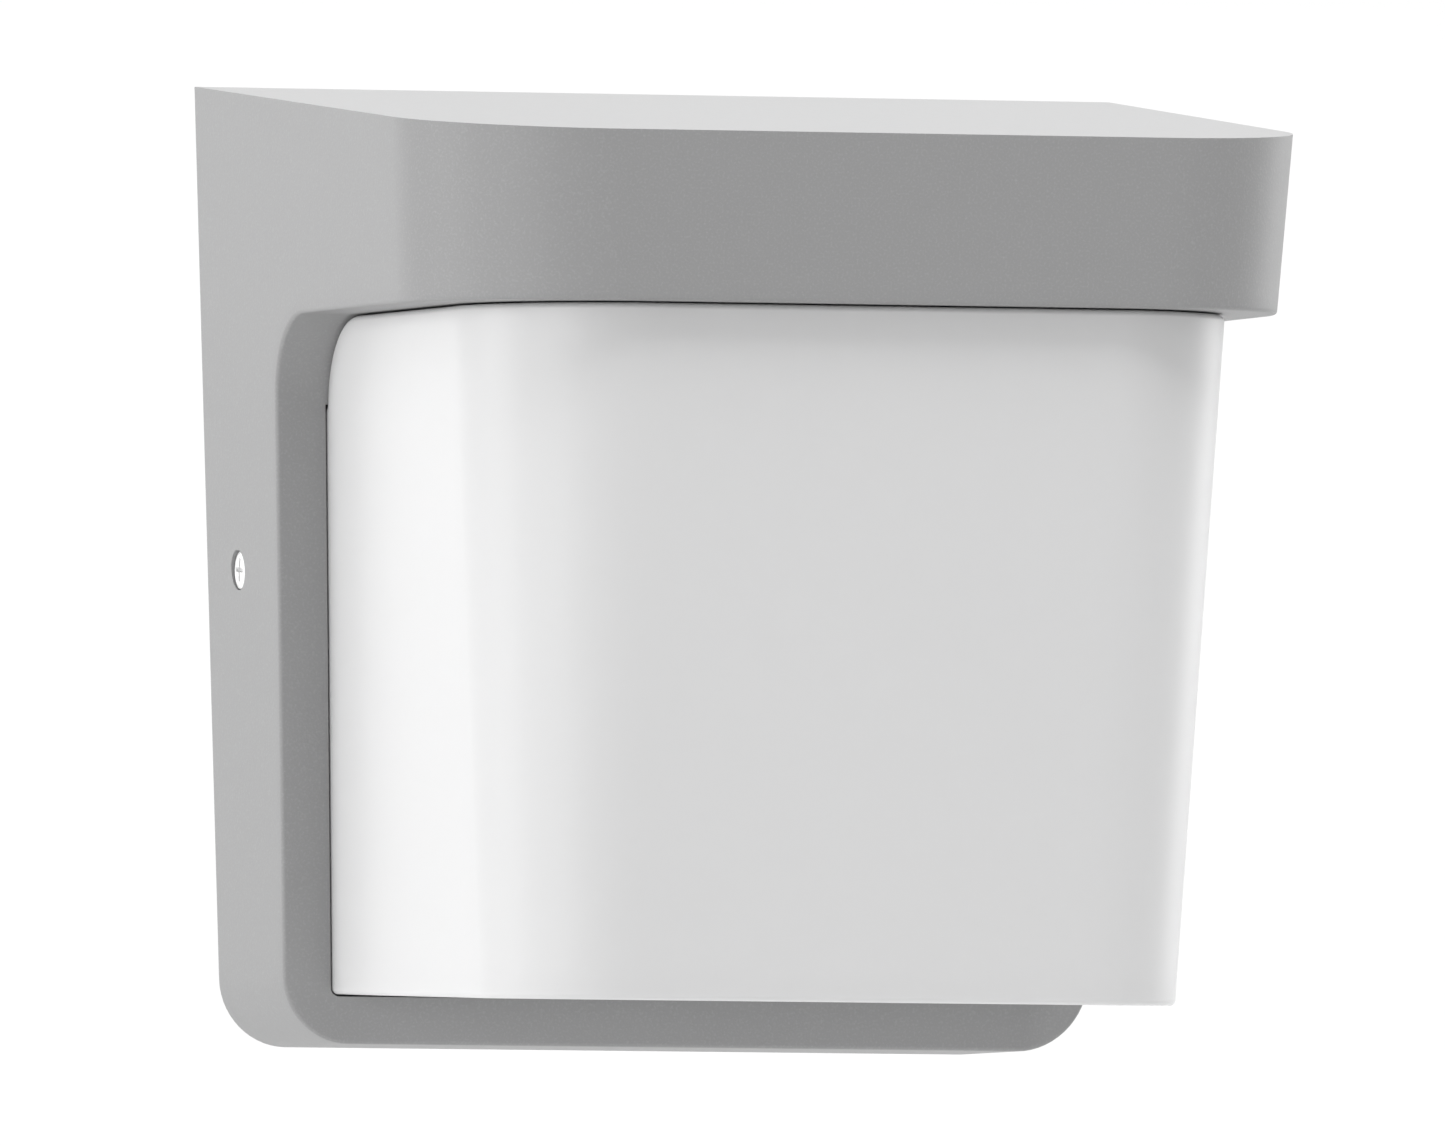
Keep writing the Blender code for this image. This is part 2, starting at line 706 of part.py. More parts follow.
def cut_bracket_holes(bracket):
    """Wall-screw slots, keyhole, cable hole and the clearance holes of the small fixings."""
    for side in (-1.0, 1.0):
        slot(bracket, side * WALL_SLOT_X, LOCK_Z, 0.005, WALL_SLOT_RADIUS)
        round_hole(bracket, side * 0.0255, LAMP_Z, 0.0018)
    slot(bracket, 0.0, 0.150, 0.004, WALL_SLOT_RADIUS, upright=True)
    round_hole(bracket, 0.0, 0.1445, 0.0045)
    round_hole(bracket, 0.0, CABLE_Z, CABLE_HOLE_RADIUS, 32)
    round_hole(bracket, 0.022, 0.134, 0.0018)
    for side in (-1.0, 1.0):
        round_hole(bracket, side * 0.5 * POLE_SPACING, BLOCK_Z, 0.0016)


def round_hole(plate, x, z, radius, segments=20):
    """Hole straight through the plate."""
    profile = [(0.0, 0.0), (radius, 0.0), (radius, 0.010), (0.0, 0.010)]
    combine(plate, turned("hole", profile, place(x, 0.005, z), (0, -1, 0), zinc_steel(), segments))


def slot(plate, x, z, half_length, radius, upright=False):
    """Slot with round ends straight through the plate."""
    outline = []
    for end in (1.0, -1.0):
        for i in range(7):
            angle = -0.5 * math.pi + math.pi * i / 6
            along = end * (half_length + radius * math.cos(angle))
            across = end * radius * math.sin(angle)
            outline.append((across, along) if upright else (along, across))
    rings = [[place(x + dx, y, z + dz) for dx, dz in outline] for y in (0.005, -0.005)]
    combine(plate, skin("slot", rings, zinc_steel()))


def build_cable_grommet():
    """Rubber grommet in the cable hole, with a thin pierced cone for the cable."""
    hole = CABLE_HOLE_RADIUS
    groove = hole - GAP
    profile = [(0.0030, -0.0040), (hole + 0.0015, -0.0040), (hole + 0.0015, -SHEET - GAP), (groove, -SHEET - GAP)]
    profile += [(groove, -0.0002), (0.0045, -0.0002), (0.0030, -0.0020)]
    profile = [(radius, -height) for radius, height in profile]
    return turned("cable_grommet", profile, place(0.0, 0.0, CABLE_Z), (0, -1, 0), black_rubber(), 28, tube=True)


def build_wall_seal():
    """Soft strip under the casting's rear rim that meets the wall."""
    inner, outer = 0.0024, 0.0007
    rings = []
    for inset, y in ((outer, 0.0), (outer, -0.0007), (inner, -0.0007), (inner, 0.0)):
        rings.append(rim_outline(inset, y))
    return skin("wall_seal", rings, black_rubber(), closed=True)


def rim_outline(inset, y):
    """Outline of the housing's rear rim, drawn in by an inset."""
    radius = LOWER_CORNER - inset
    right = []
    for i in range(7):
        angle = 0.5 * math.pi * i / 6
        z = inset + radius * (1.0 - math.cos(angle))
        right.append((half_width(0.0, z) - inset - radius * (1.0 - math.sin(angle)), z))
    top = HEIGHT - inset
    right.append((half_width(0.0, top) - inset, top))
    loop = right + [(-x, z) for x, z in reversed(right)]
    return [place(x, y, z) for x, z in loop]


# ---------------------------------------------------------------- lamp holder

def build_lamp_holder():
    """Porcelain screw-lamp holder with its brass shell, centre contact and fixing screws."""
    foot = SHEET + GAP
    mouth = -HOLDER_MOUTH_Y
    floor = -HOLDER_FLOOR_Y
    profile = [(0.0, foot), (HOLDER_RADIUS, foot), (HOLDER_RADIUS, mouth - 0.012), (HOLDER_RADIUS - 0.0015, mouth - 0.010)]
    profile += [(HOLDER_RADIUS - 0.0015, mouth - 0.001), (HOLDER_RADIUS - 0.0025, mouth)]
    profile += [(HOLDER_CAVITY_RADIUS + 0.0005, mouth), (HOLDER_CAVITY_RADIUS, mouth - 0.0008)]
    profile += [(HOLDER_CAVITY_RADIUS, floor), (0.0, floor)]
    axis_foot = place(0.0, 0.0, LAMP_Z)
    body = turned("lamp_holder_body", profile, axis_foot, (0, -1, 0), white_ceramic(), 32)
    ears = box(
        "ears",
        place(-0.0300, -foot - 0.0050, LAMP_Z - 0.0055),
        place(0.0300, -foot - 0.0004, LAMP_Z + 0.0055),
        white_ceramic(),
    )
    combine(body, ears, "UNION")
    for side in (-1.0, 1.0):
        cutter = [(0.0, 0.0), (0.0018, 0.0), (0.0018, 0.020), (0.0, 0.020)]
        combine(body, turned("ear_hole", cutter, place(side * 0.0255, 0.005, LAMP_Z), (0, -1, 0), white_ceramic(), 16))
        wire = [(0.0, 0.0), (0.0014, 0.0), (0.0014, 0.007), (0.0, 0.007)]
        start = place(side * 0.009, -0.0085, LAMP_Z - HOLDER_RADIUS - 0.002)
        combine(body, turned("wire_hole", wire, start, (0, 0, 1), white_ceramic(), 12))
    shade_by_angle(body)
    for side, word in ((-1.0, "left"), (1.0, "right")):
        seat = place(side * 0.0255, -foot - 0.0050 - GAP, LAMP_Z)
        pan_screw(f"holder_screw_{word}", seat, (0, -1, 0), 0.0031, 0.0021, 0.0015, 0.0070)
    low, high = floor + 0.0025, mouth - 0.0060
    tube = [(SHELL_INNER_RADIUS, low), (SHELL_OUTER_RADIUS, low), (SHELL_OUTER_RADIUS, high), (SHELL_INNER_RADIUS, high)]
    turned("lamp_holder_shell", tube, axis_foot, (0, -1, 0), brass(), 32, tube=True)
    build_holder_contact(floor)


def build_holder_contact(floor):
    """Springy brass tongue on the holder's floor that meets the lamp's centre contact."""
    thick = 0.0005
    path = [(-0.0105, -floor - GAP), (-0.0055, -floor - GAP), (-0.0020, -floor - 0.0022), (0.0030, -floor - 0.0026)]
    upper = [(z, y - thick) for z, y in path]
    loop = path + upper[::-1]
    rings = [[place(x, y, LAMP_Z + z) for z, y in loop] for x in (-0.003, 0.003)]
    return skin("lamp_holder_contact", rings, brass())


# ---------------------------------------------------------------- lamp

def build_lamp():
    """Small globe lamp: contact, insulator, threaded cap, skirt and globe."""
    axis_foot = place(0.0, 0.0, LAMP_Z)
    out = (0, -1, 0)
    tip = -HOLDER_FLOOR_Y + 0.0035
    contact = [(0.0, tip), (0.0030, tip + 0.0003), (0.0042, tip + 0.0010), (0.0042, tip + 0.0014), (0.0, tip + 0.0014)]
    turned("lamp_centre_contact", contact, axis_foot, out, nickel(), 20)
    glass = [(0.0, tip + 0.0017), (0.0060, tip + 0.0017), (0.0098, tip + 0.0042), (0.0098, tip + 0.0052), (0.0, tip + 0.0052)]
    turned("lamp_insulator", glass, axis_foot, out, black_glass(), 24)
    start = tip + 0.0055
    cap = [(0.0, start), (0.0100, start), (CAP_ROOT_RADIUS, start + 0.0012)]
    turns = 4
    for i in range(turns):
        base = start + 0.0016 + i * THREAD_PITCH
        cap += [(CAP_ROOT_RADIUS, base), (CAP_CREST_RADIUS - 0.0001, base + 0.0010)]
        cap += [(CAP_CREST_RADIUS, base + 0.0015), (CAP_CREST_RADIUS - 0.0001, base + 0.0020)]
        cap += [(CAP_ROOT_RADIUS, base + 0.0030)]
    rim = start + 0.0016 + turns * THREAD_PITCH + 0.0030
    cap += [(CAP_ROOT_RADIUS, rim - 0.0012), (CAP_CREST_RADIUS, rim), (CAP_CREST_RADIUS, rim + 0.0015), (0.0, rim + 0.0015)]
    turned("lamp_cap", cap, axis_foot, out, nickel(), 24)
    foot = rim + 0.0015 + GAP
    skirt = [(0.0, foot), (0.0128, foot), (0.0138, foot + 0.003), (0.0168, foot + 0.009), (0.0200, foot + 0.014)]
    skirt += [(0.0214, foot + 0.018), (0.0, foot + 0.018)]
    turned("lamp_skirt", skirt, axis_foot, out, white_plastic(), 32)
    base = foot + 0.018 + GAP
    globe = [(0.0, base), (0.0214, base)]
    first = math.acos(0.0214 / GLOBE_RADIUS)
    centre = base + GLOBE_RADIUS * math.sin(first)
    for i in range(1, 11):
        angle = -first + (0.5 * math.pi + first) * i / 10
        radius = GLOBE_RADIUS * math.cos(angle) if i < 10 else 0.0
        globe.append((radius, centre + GLOBE_RADIUS * math.sin(angle)))
    turned("lamp_globe", globe, axis_foot, out, lamp_opal(), 28)


# ---------------------------------------------------------------- wiring

def pole_x(index):
    """Sideways place of a terminal pole."""
    return (index - 1) * POLE_SPACING


def build_terminal_block():
    """Three-pole terminal block with its clamp screws and the two screws that fix it."""
    low_y, high_y = -SHEET - GAP, -SHEET - GAP - 0.0140
    half = 1.5 * POLE_SPACING + 0.001
    block = box(
        "terminal_block",
        place(-half, high_y, BLOCK_Z - BLOCK_HALF_HEIGHT),
        place(half, low_y, BLOCK_Z + BLOCK_HALF_HEIGHT),
        white_plastic(),
    )
    for index in range(3):
        for side in (-1.0, 1.0):
            origin = place(pole_x(index), -0.0085, BLOCK_Z + side * (BLOCK_HALF_HEIGHT + 0.001))
            wire = [(0.0, 0.0), (0.0020, 0.0), (0.0020, 0.0055), (0.0, 0.0055)]
            combine(block, turned("wire_way", wire, origin, (0, 0, -side), white_plastic(), 16))
            top = place(pole_x(index), high_y - 0.001, BLOCK_Z + side * 0.0045)
            well = [(0.0, 0.0), (0.0021, 0.0), (0.0021, 0.0042), (0.0, 0.0042)]
            combine(block, turned("screw_well", well, top, (0, 1, 0), white_plastic(), 16))
    for side in (-1.0, 1.0):
        well = [(0.0, 0.0), (0.0024, 0.0), (0.0024, 0.0100), (0.0015, 0.0100), (0.0015, 0.020), (0.0, 0.020)]
        origin = place(side * 0.5 * POLE_SPACING, high_y - 0.001, BLOCK_Z)
        combine(block, turned("fixing_well", well, origin, (0, 1, 0), white_plastic(), 16))
    for index, word in enumerate(("live", "neutral", "earth")):
        for side, end in ((-1.0, "mains"), (1.0, "lamp")):
            seat = place(pole_x(index), high_y + 0.0026, BLOCK_Z + side * 0.0045)
            grub_screw(f"terminal_screw_{word}_{end}", seat)
    for side, word in ((-1.0, "left"), (1.0, "right")):
        seat = place(side * 0.5 * POLE_SPACING, high_y + 0.0090 - GAP, BLOCK_Z)
        pan_screw(f"block_screw_{word}", seat, (0, -1, 0), 0.0020, 0.0014, 0.0012, 0.0060, 12)
    return block


def grub_screw(name, seat):
    """Short slotted clamp screw standing in its well."""
    profile = [(0.0, 0.0), (0.0017, 0.0), (0.0017, 0.0018), (0.0, 0.0018)]
    screw = turned(name, profile, seat, (0, -1, 0), brass(), 14)
    low = Vector(seat) + Vector((-0.003, -0.003, -0.0003))
    high = Vector(seat) + Vector((0.003, -0.0011, 0.0003))
    combine(screw, box("driver_slot", low, high, brass()))
    return shade_by_angle(screw)


def build_earth_point():
    """Earth screw on the bracket with a ring lug and a toothed washer."""
    x, z = 0.022, 0.134
    y = -SHEET - GAP
    teeth = 12
    rings = []
    for depth in (y, y - 0.0006):
        outer = []
        for i in range(2 * teeth):
            angle = math.pi * i / teeth
            radius = 0.0041 if i % 2 else 0.0034
            outer.append(place(x + radius * math.cos(angle), depth, z + radius * math.sin(angle)))
        rings.append(outer)
    washer = skin("earth_washer", rings, zinc_steel())
    hole = [(0.0, 0.0), (0.0019, 0.0), (0.0019, 0.006), (0.0, 0.006)]
    combine(washer, turned("washer_hole", hole, place(x, 0.0, z), (0, -1, 0), zinc_steel(), 16))
    y -= 0.0006 + GAP
    half_tail = 0.0014
    spread = math.asin(half_tail / 0.0042)
    outline = []
    for i in range(21):
        angle = spread + (2.0 * math.pi - 2.0 * spread) * i / 20
        outline.append((x + 0.0042 * math.cos(angle), z + 0.0042 * math.sin(angle)))
    outline += [(x + 0.0085, z - half_tail), (x + 0.0085, z + half_tail)]
    lug = skin("earth_lug", [[place(px, depth, pz) for px, pz in outline] for depth in (y, y - 0.0008)], brass())
    barrel = [(0.0, 0.0), (0.0015, 0.0), (0.0015, 0.0055), (0.0, 0.0055)]
    barrel_at = place(x + 0.0073, y - 0.0010, z + 0.0009)
    combine(lug, turned("lug_barrel", barrel, barrel_at, (0, 0, -1), brass(), 14), "UNION")
    combine(lug, turned("lug_hole", hole, place(x, 0.0, z), (0, -1, 0), brass(), 16))
    seat = place(x, y - 0.0008 - GAP, z)
    pan_screw("earth_screw", seat, (0, -1, 0), 0.0036, 0.0024, 0.0015, 0.0034)


def smooth_path(anchors, spacing):
    """Points at even steps along a smooth curve through the anchors."""
    points = [Vector(anchor) for anchor in anchors]
    ends = [2.0 * points[0] - points[1]] + points + [2.0 * points[-1] - points[-2]]
    dense = []
    for a, b, c, d in zip(ends, ends[1:], ends[2:], ends[3:]):
        for i in range(24):
            t = i / 24.0
            dense.append(0.5 * (2.0 * b + (c - a) * t + (2.0 * a - 5.0 * b + 4.0 * c - d) * t * t
                                + (3.0 * b - a - 3.0 * c + d) * t ** 3))
    dense.append(points[-1])
    length = sum((q - p).length for p, q in zip(dense, dense[1:]))
    count = max(int(round(length / spacing)), 2)
    step = length / count
    path, travelled, target = [dense[0]], 0.0, step
    for p, q in zip(dense, dense[1:]):
        piece = (q - p).length
        while piece > 0.0 and travelled + piece >= target - 1e-9 and len(path) < count:
            path.append(p.lerp(q, (target - travelled) / piece))
            target += step
        travelled += piece
    path.append(dense[-1])
    return path


def lead(name, anchors, material):
    """Insulated lead along a smooth route, as one round solid."""
    path = smooth_path(anchors, 0.0046)
    curve = bpy.data.curves.new(name, "CURVE")
    curve.dimensions = "3D"
    curve.bevel_depth = LEAD_RADIUS
    curve.bevel_resolution = 2
    curve.use_fill_caps = True
    spline = curve.splines.new("POLY")
    spline.points.add(len(path) - 1)
    for point, where in zip(spline.points, path):
        point.co = (*where, 1.0)
    curve.materials.append(material)
    item = bpy.data.objects.new(name, curve)
    bpy.context.scene.collection.objects.link(item)
    return item


def build_leads():
    """Leads from the terminal block to the holder and to the earth screw."""
    top = BLOCK_Z + BLOCK_HALF_HEIGHT
    foot = LAMP_Z - HOLDER_RADIUS
    y = -0.0085
    live = [place(pole_x(0), y, top - 0.0035), place(pole_x(0), y, top + 0.0015), place(-0.0108, y - 0.0020, top + 0.0060)]
    live += [place(-0.0090, y, foot - 0.0008), place(-0.0090, y, foot + 0.0042)]
    lead("live_lead", live, sleeve("brown_sleeve", (0.20, 0.08, 0.03)))
    neutral = [place(pole_x(1), y, top - 0.0035), place(pole_x(1), y, top + 0.0012), place(0.0040, y - 0.0030, top + 0.0062)]
    neutral += [place(0.0090, y, foot - 0.0008), place(0.0090, y, foot + 0.0042)]
    lead("neutral_lead", neutral, sleeve("blue_sleeve", (0.04, 0.12, 0.42)))
    earth = [place(pole_x(2), y, top - 0.0035), place(pole_x(2), y, top + 0.0010), place(0.0150, y - 0.0010, top + 0.0065)]
    earth += [place(0.0235, y + 0.0005, 0.0690), place(0.0325, y + 0.0010, 0.0800), place(0.0335, y + 0.0020, 0.0960)]
    earth += [place(0.0315, -0.0055, 0.1120), place(0.0296, -0.0040, 0.1220), place(0.0293, -0.0037, 0.1290)]
    lead("earth_lead", earth, sleeve("green_yellow_sleeve", (0.22, 0.50, 0.08)))


def main():
    """Build the whole lantern."""
    remove_everything()
    build_bracket()
    build_cable_grommet()
    build_lamp_holder()
    build_terminal_block()
    build_earth_point()
    build_leads()
    build_housing()
    build_wall_seal()
    build_diffuser()
    build_diffuser_gasket()
    build_clips()
    build_lock_screws()
    build_lamp()


main()
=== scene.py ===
"""Looks of the outdoor wall lantern: finishes, fine surfaces, studio and camera.

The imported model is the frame. The casting, the opal diffuser, the lamp, the holder's shell and
the leads are worked out again as fine surfaces inside the same box, and every other node of the
frame keeps its shape and gets a finish.
"""

from __future__ import annotations

import logging
import math
from dataclasses import dataclass, field
from enum import Enum
from typing import Callable, Dict, List, Optional, Sequence, Tuple

import bmesh
import bpy
import numpy as np
from mathutils import Matrix, Quaternion, Vector


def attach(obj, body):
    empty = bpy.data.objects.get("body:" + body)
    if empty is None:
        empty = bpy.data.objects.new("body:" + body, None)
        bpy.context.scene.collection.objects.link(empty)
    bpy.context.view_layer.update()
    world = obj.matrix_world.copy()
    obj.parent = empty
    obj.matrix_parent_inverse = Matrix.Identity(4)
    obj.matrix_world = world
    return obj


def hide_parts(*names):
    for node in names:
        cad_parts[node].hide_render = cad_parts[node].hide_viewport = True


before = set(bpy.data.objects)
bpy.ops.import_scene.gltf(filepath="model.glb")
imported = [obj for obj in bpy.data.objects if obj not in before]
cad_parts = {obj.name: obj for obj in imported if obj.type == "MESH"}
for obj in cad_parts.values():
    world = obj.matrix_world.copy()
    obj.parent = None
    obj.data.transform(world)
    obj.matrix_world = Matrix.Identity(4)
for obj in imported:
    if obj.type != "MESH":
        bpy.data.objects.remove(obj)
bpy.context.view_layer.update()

LOG = logging.getLogger("wall_lantern")

Colour = Tuple[float, float, float]
Point = Tuple[float, float, float]
REAR_GAP = 0.001
ORIGIN_HEIGHT = 0.100
MERGE_DISTANCE = 2e-6
TURN = 2.0 * math.pi


class Body(Enum):
    """Bodies of the frame that new pieces ride on."""

    WALL_SIDE = "wall_side"
    HOUSING = "housing"
    LAMP = "lamp"


# ------------------------------------------------------------------ shader helpers


class NodeSheet:
    """A small writer for one node tree, a material's or a group's."""

    def __init__(self, tree: bpy.types.NodeTree) -> None:
        """Keep the tree.

        Args:
            tree: The node tree to write into.
        """
        self.tree = tree

    def add(self, kind: str, **settings: object) -> bpy.types.Node:
        """Add a node.

        Args:
            kind: Blender's name of the node type.
            settings: Properties to set on the node.

        Returns:
            The new node.
        """
        node = self.tree.nodes.new(kind)
        for key, value in settings.items():
            setattr(node, key, value)
        return node

    def join(self, source: bpy.types.NodeSocket, target: bpy.types.NodeSocket) -> None:
        """Link one output to one input."""
        self.tree.links.new(source, target)

    def math(self, operation: str, first: object, second: object) -> bpy.types.NodeSocket:
        """Combine two values, each a socket or a number.

        Args:
            operation: Blender's name of the operation.
            first: The first value.
            second: The second value.

        Returns:
            The result's socket.
        """
        node = self.add("ShaderNodeMath", operation=operation)
        for socket, value in zip(node.inputs, (first, second)):
            if isinstance(value, bpy.types.NodeSocket):
                self.join(value, socket)
            else:
                socket.default_value = value
        return node.outputs[0]

    def blend(self, factor: object, first: object, second: object) -> bpy.types.NodeSocket:
        """Mix two colours, each a socket or three numbers.

        Args:
            factor: A socket or a number from 0 to 1.
            first: Colour at factor 0.
            second: Colour at factor 1.

        Returns:
            The mixed colour's socket.
        """
        node = self.add("ShaderNodeMix", data_type="RGBA")
        for socket, value in ((node.inputs[0], factor), (node.inputs[6], first), (node.inputs[7], second)):
            if isinstance(value, bpy.types.NodeSocket):
                self.join(value, socket)
            elif isinstance(value, (tuple, list)):
                socket.default_value = (*value, 1.0)
            else:
                socket.default_value = value
        return node.outputs[2]

    def noise(self, vector: bpy.types.NodeSocket, scale: object, detail: float) -> bpy.types.NodeSocket:
        """Smooth noise from 0 to 1.

        Args:
            vector: Coordinates.
            scale: A socket or a number, in cycles per metre.
            detail: Octaves.

        Returns:
            The noise value's socket.
        """
        node = self.add("ShaderNodeTexNoise")
        node.inputs["Detail"].default_value = detail
        self.join(vector, node.inputs["Vector"])
        if isinstance(scale, bpy.types.NodeSocket):
            self.join(scale, node.inputs["Scale"])
        else:
            node.inputs["Scale"].default_value = scale
        return node.outputs["Fac"]


def new_group(
    name: str, inputs: Dict[str, object], outputs: Dict[str, str]
) -> Tuple[NodeSheet, bpy.types.Node, bpy.types.Node]:
    """Start a node group with named sockets.

    Args:
        name: The group's name.
        inputs: Socket name to its default: a number, three numbers for a colour, or None for a vector.
        outputs: Socket name to its type.

    Returns:
        The sheet, the group's input node and its output node.
    """
    tree = bpy.data.node_groups.new(name, "ShaderNodeTree")
    for label, value in inputs.items():
        kind = "NodeSocketColor" if isinstance(value, tuple) else "NodeSocketFloat"
        if value is None:
            kind = "NodeSocketVector"
        socket = tree.interface.new_socket(label, in_out="INPUT", socket_type=kind)
        if isinstance(value, tuple):
            socket.default_value = (*value, 1.0)
        elif value is not None:
            socket.default_value = value
    for label, kind in outputs.items():
        tree.interface.new_socket(label, in_out="OUTPUT", socket_type=kind)
    sheet = NodeSheet(tree)
    return sheet, sheet.add("NodeGroupInput"), sheet.add("NodeGroupOutput")


class Effects:
    """Node groups that several finishes share."""

    def __init__(self) -> None:
        """Build each group once."""
        self.grain = self._grain()
        self.streaks = self._streaks()
        self.mottle = self._mottle()

    @staticmethod
    def _grain() -> bpy.types.NodeTree:
        """Fine grain: two sizes of noise added, with a mask of the brightest specks.

        Returns:
            The group: Height and Specks from Vector and Scale.
        """
        sheet, given, out = new_group(
            "fine_grain",
            {"Vector": None, "Scale": 2500.0, "Coarse": 0.4},
            {"Height": "NodeSocketFloat", "Specks": "NodeSocketFloat"},
        )
        fine = sheet.noise(given.outputs["Vector"], given.outputs["Scale"], 2.0)
        coarse_scale = sheet.math("MULTIPLY", given.outputs["Scale"], 0.31)
        coarse = sheet.noise(given.outputs["Vector"], coarse_scale, 1.0)
        weighted = sheet.math("MULTIPLY", coarse, given.outputs["Coarse"])
        total = sheet.math("ADD", fine, weighted)
        sheet.join(total, out.inputs["Height"])
        lifted = sheet.math("SUBTRACT", fine, 0.5)
        specks = sheet.math("MULTIPLY", lifted, 3.0)
        node = sheet.add("ShaderNodeClamp")
        sheet.join(specks, node.inputs["Value"])
        sheet.join(node.outputs[0], out.inputs["Specks"])
        return sheet.tree

    @staticmethod
    def _streaks() -> bpy.types.NodeTree:
        """Rolling or drawing marks: noise stretched along one direction.

        Returns:
            The group: Height from Vector, Scale and Stretch.
        """
        sheet, given, out = new_group(
            "drawn_streaks",
            {"Vector": None, "Scale": 900.0, "Stretch": 0.04},
            {"Height": "NodeSocketFloat"},
        )
        squeeze = sheet.add("ShaderNodeCombineXYZ")
        squeeze.inputs[0].default_value = 1.0
        squeeze.inputs[1].default_value = 1.0
        sheet.join(given.outputs["Stretch"], squeeze.inputs[2])
        scaled = sheet.add("ShaderNodeVectorMath", operation="MULTIPLY")
        sheet.join(given.outputs["Vector"], scaled.inputs[0])
        sheet.join(squeeze.outputs[0], scaled.inputs[1])
        height = sheet.noise(scaled.outputs[0], given.outputs["Scale"], 3.0)
        sheet.join(height, out.inputs["Height"])
        return sheet.tree

    @staticmethod
    def _mottle() -> bpy.types.NodeTree:
        """Slow change of tone over a surface.

        Returns:
            The group: Color from Vector, Scale, Color, Other and Amount.
        """
        sheet, given, out = new_group(
            "slow_mottle",
            {
                "Vector": None,
                "Scale": 20.0,
                "Color": (0.5, 0.5, 0.5),
                "Other": (0.4, 0.4, 0.4),
                "Amount": 0.5,
            },
            {"Color": "NodeSocketColor"},
        )
        slow = sheet.noise(given.outputs["Vector"], given.outputs["Scale"], 3.0)
        factor = sheet.math("MULTIPLY", slow, given.outputs["Amount"])
        sheet.join(sheet.blend(factor, given.outputs["Color"], given.outputs["Other"]), out.inputs["Color"])
        return sheet.tree


EFFECTS = Effects()


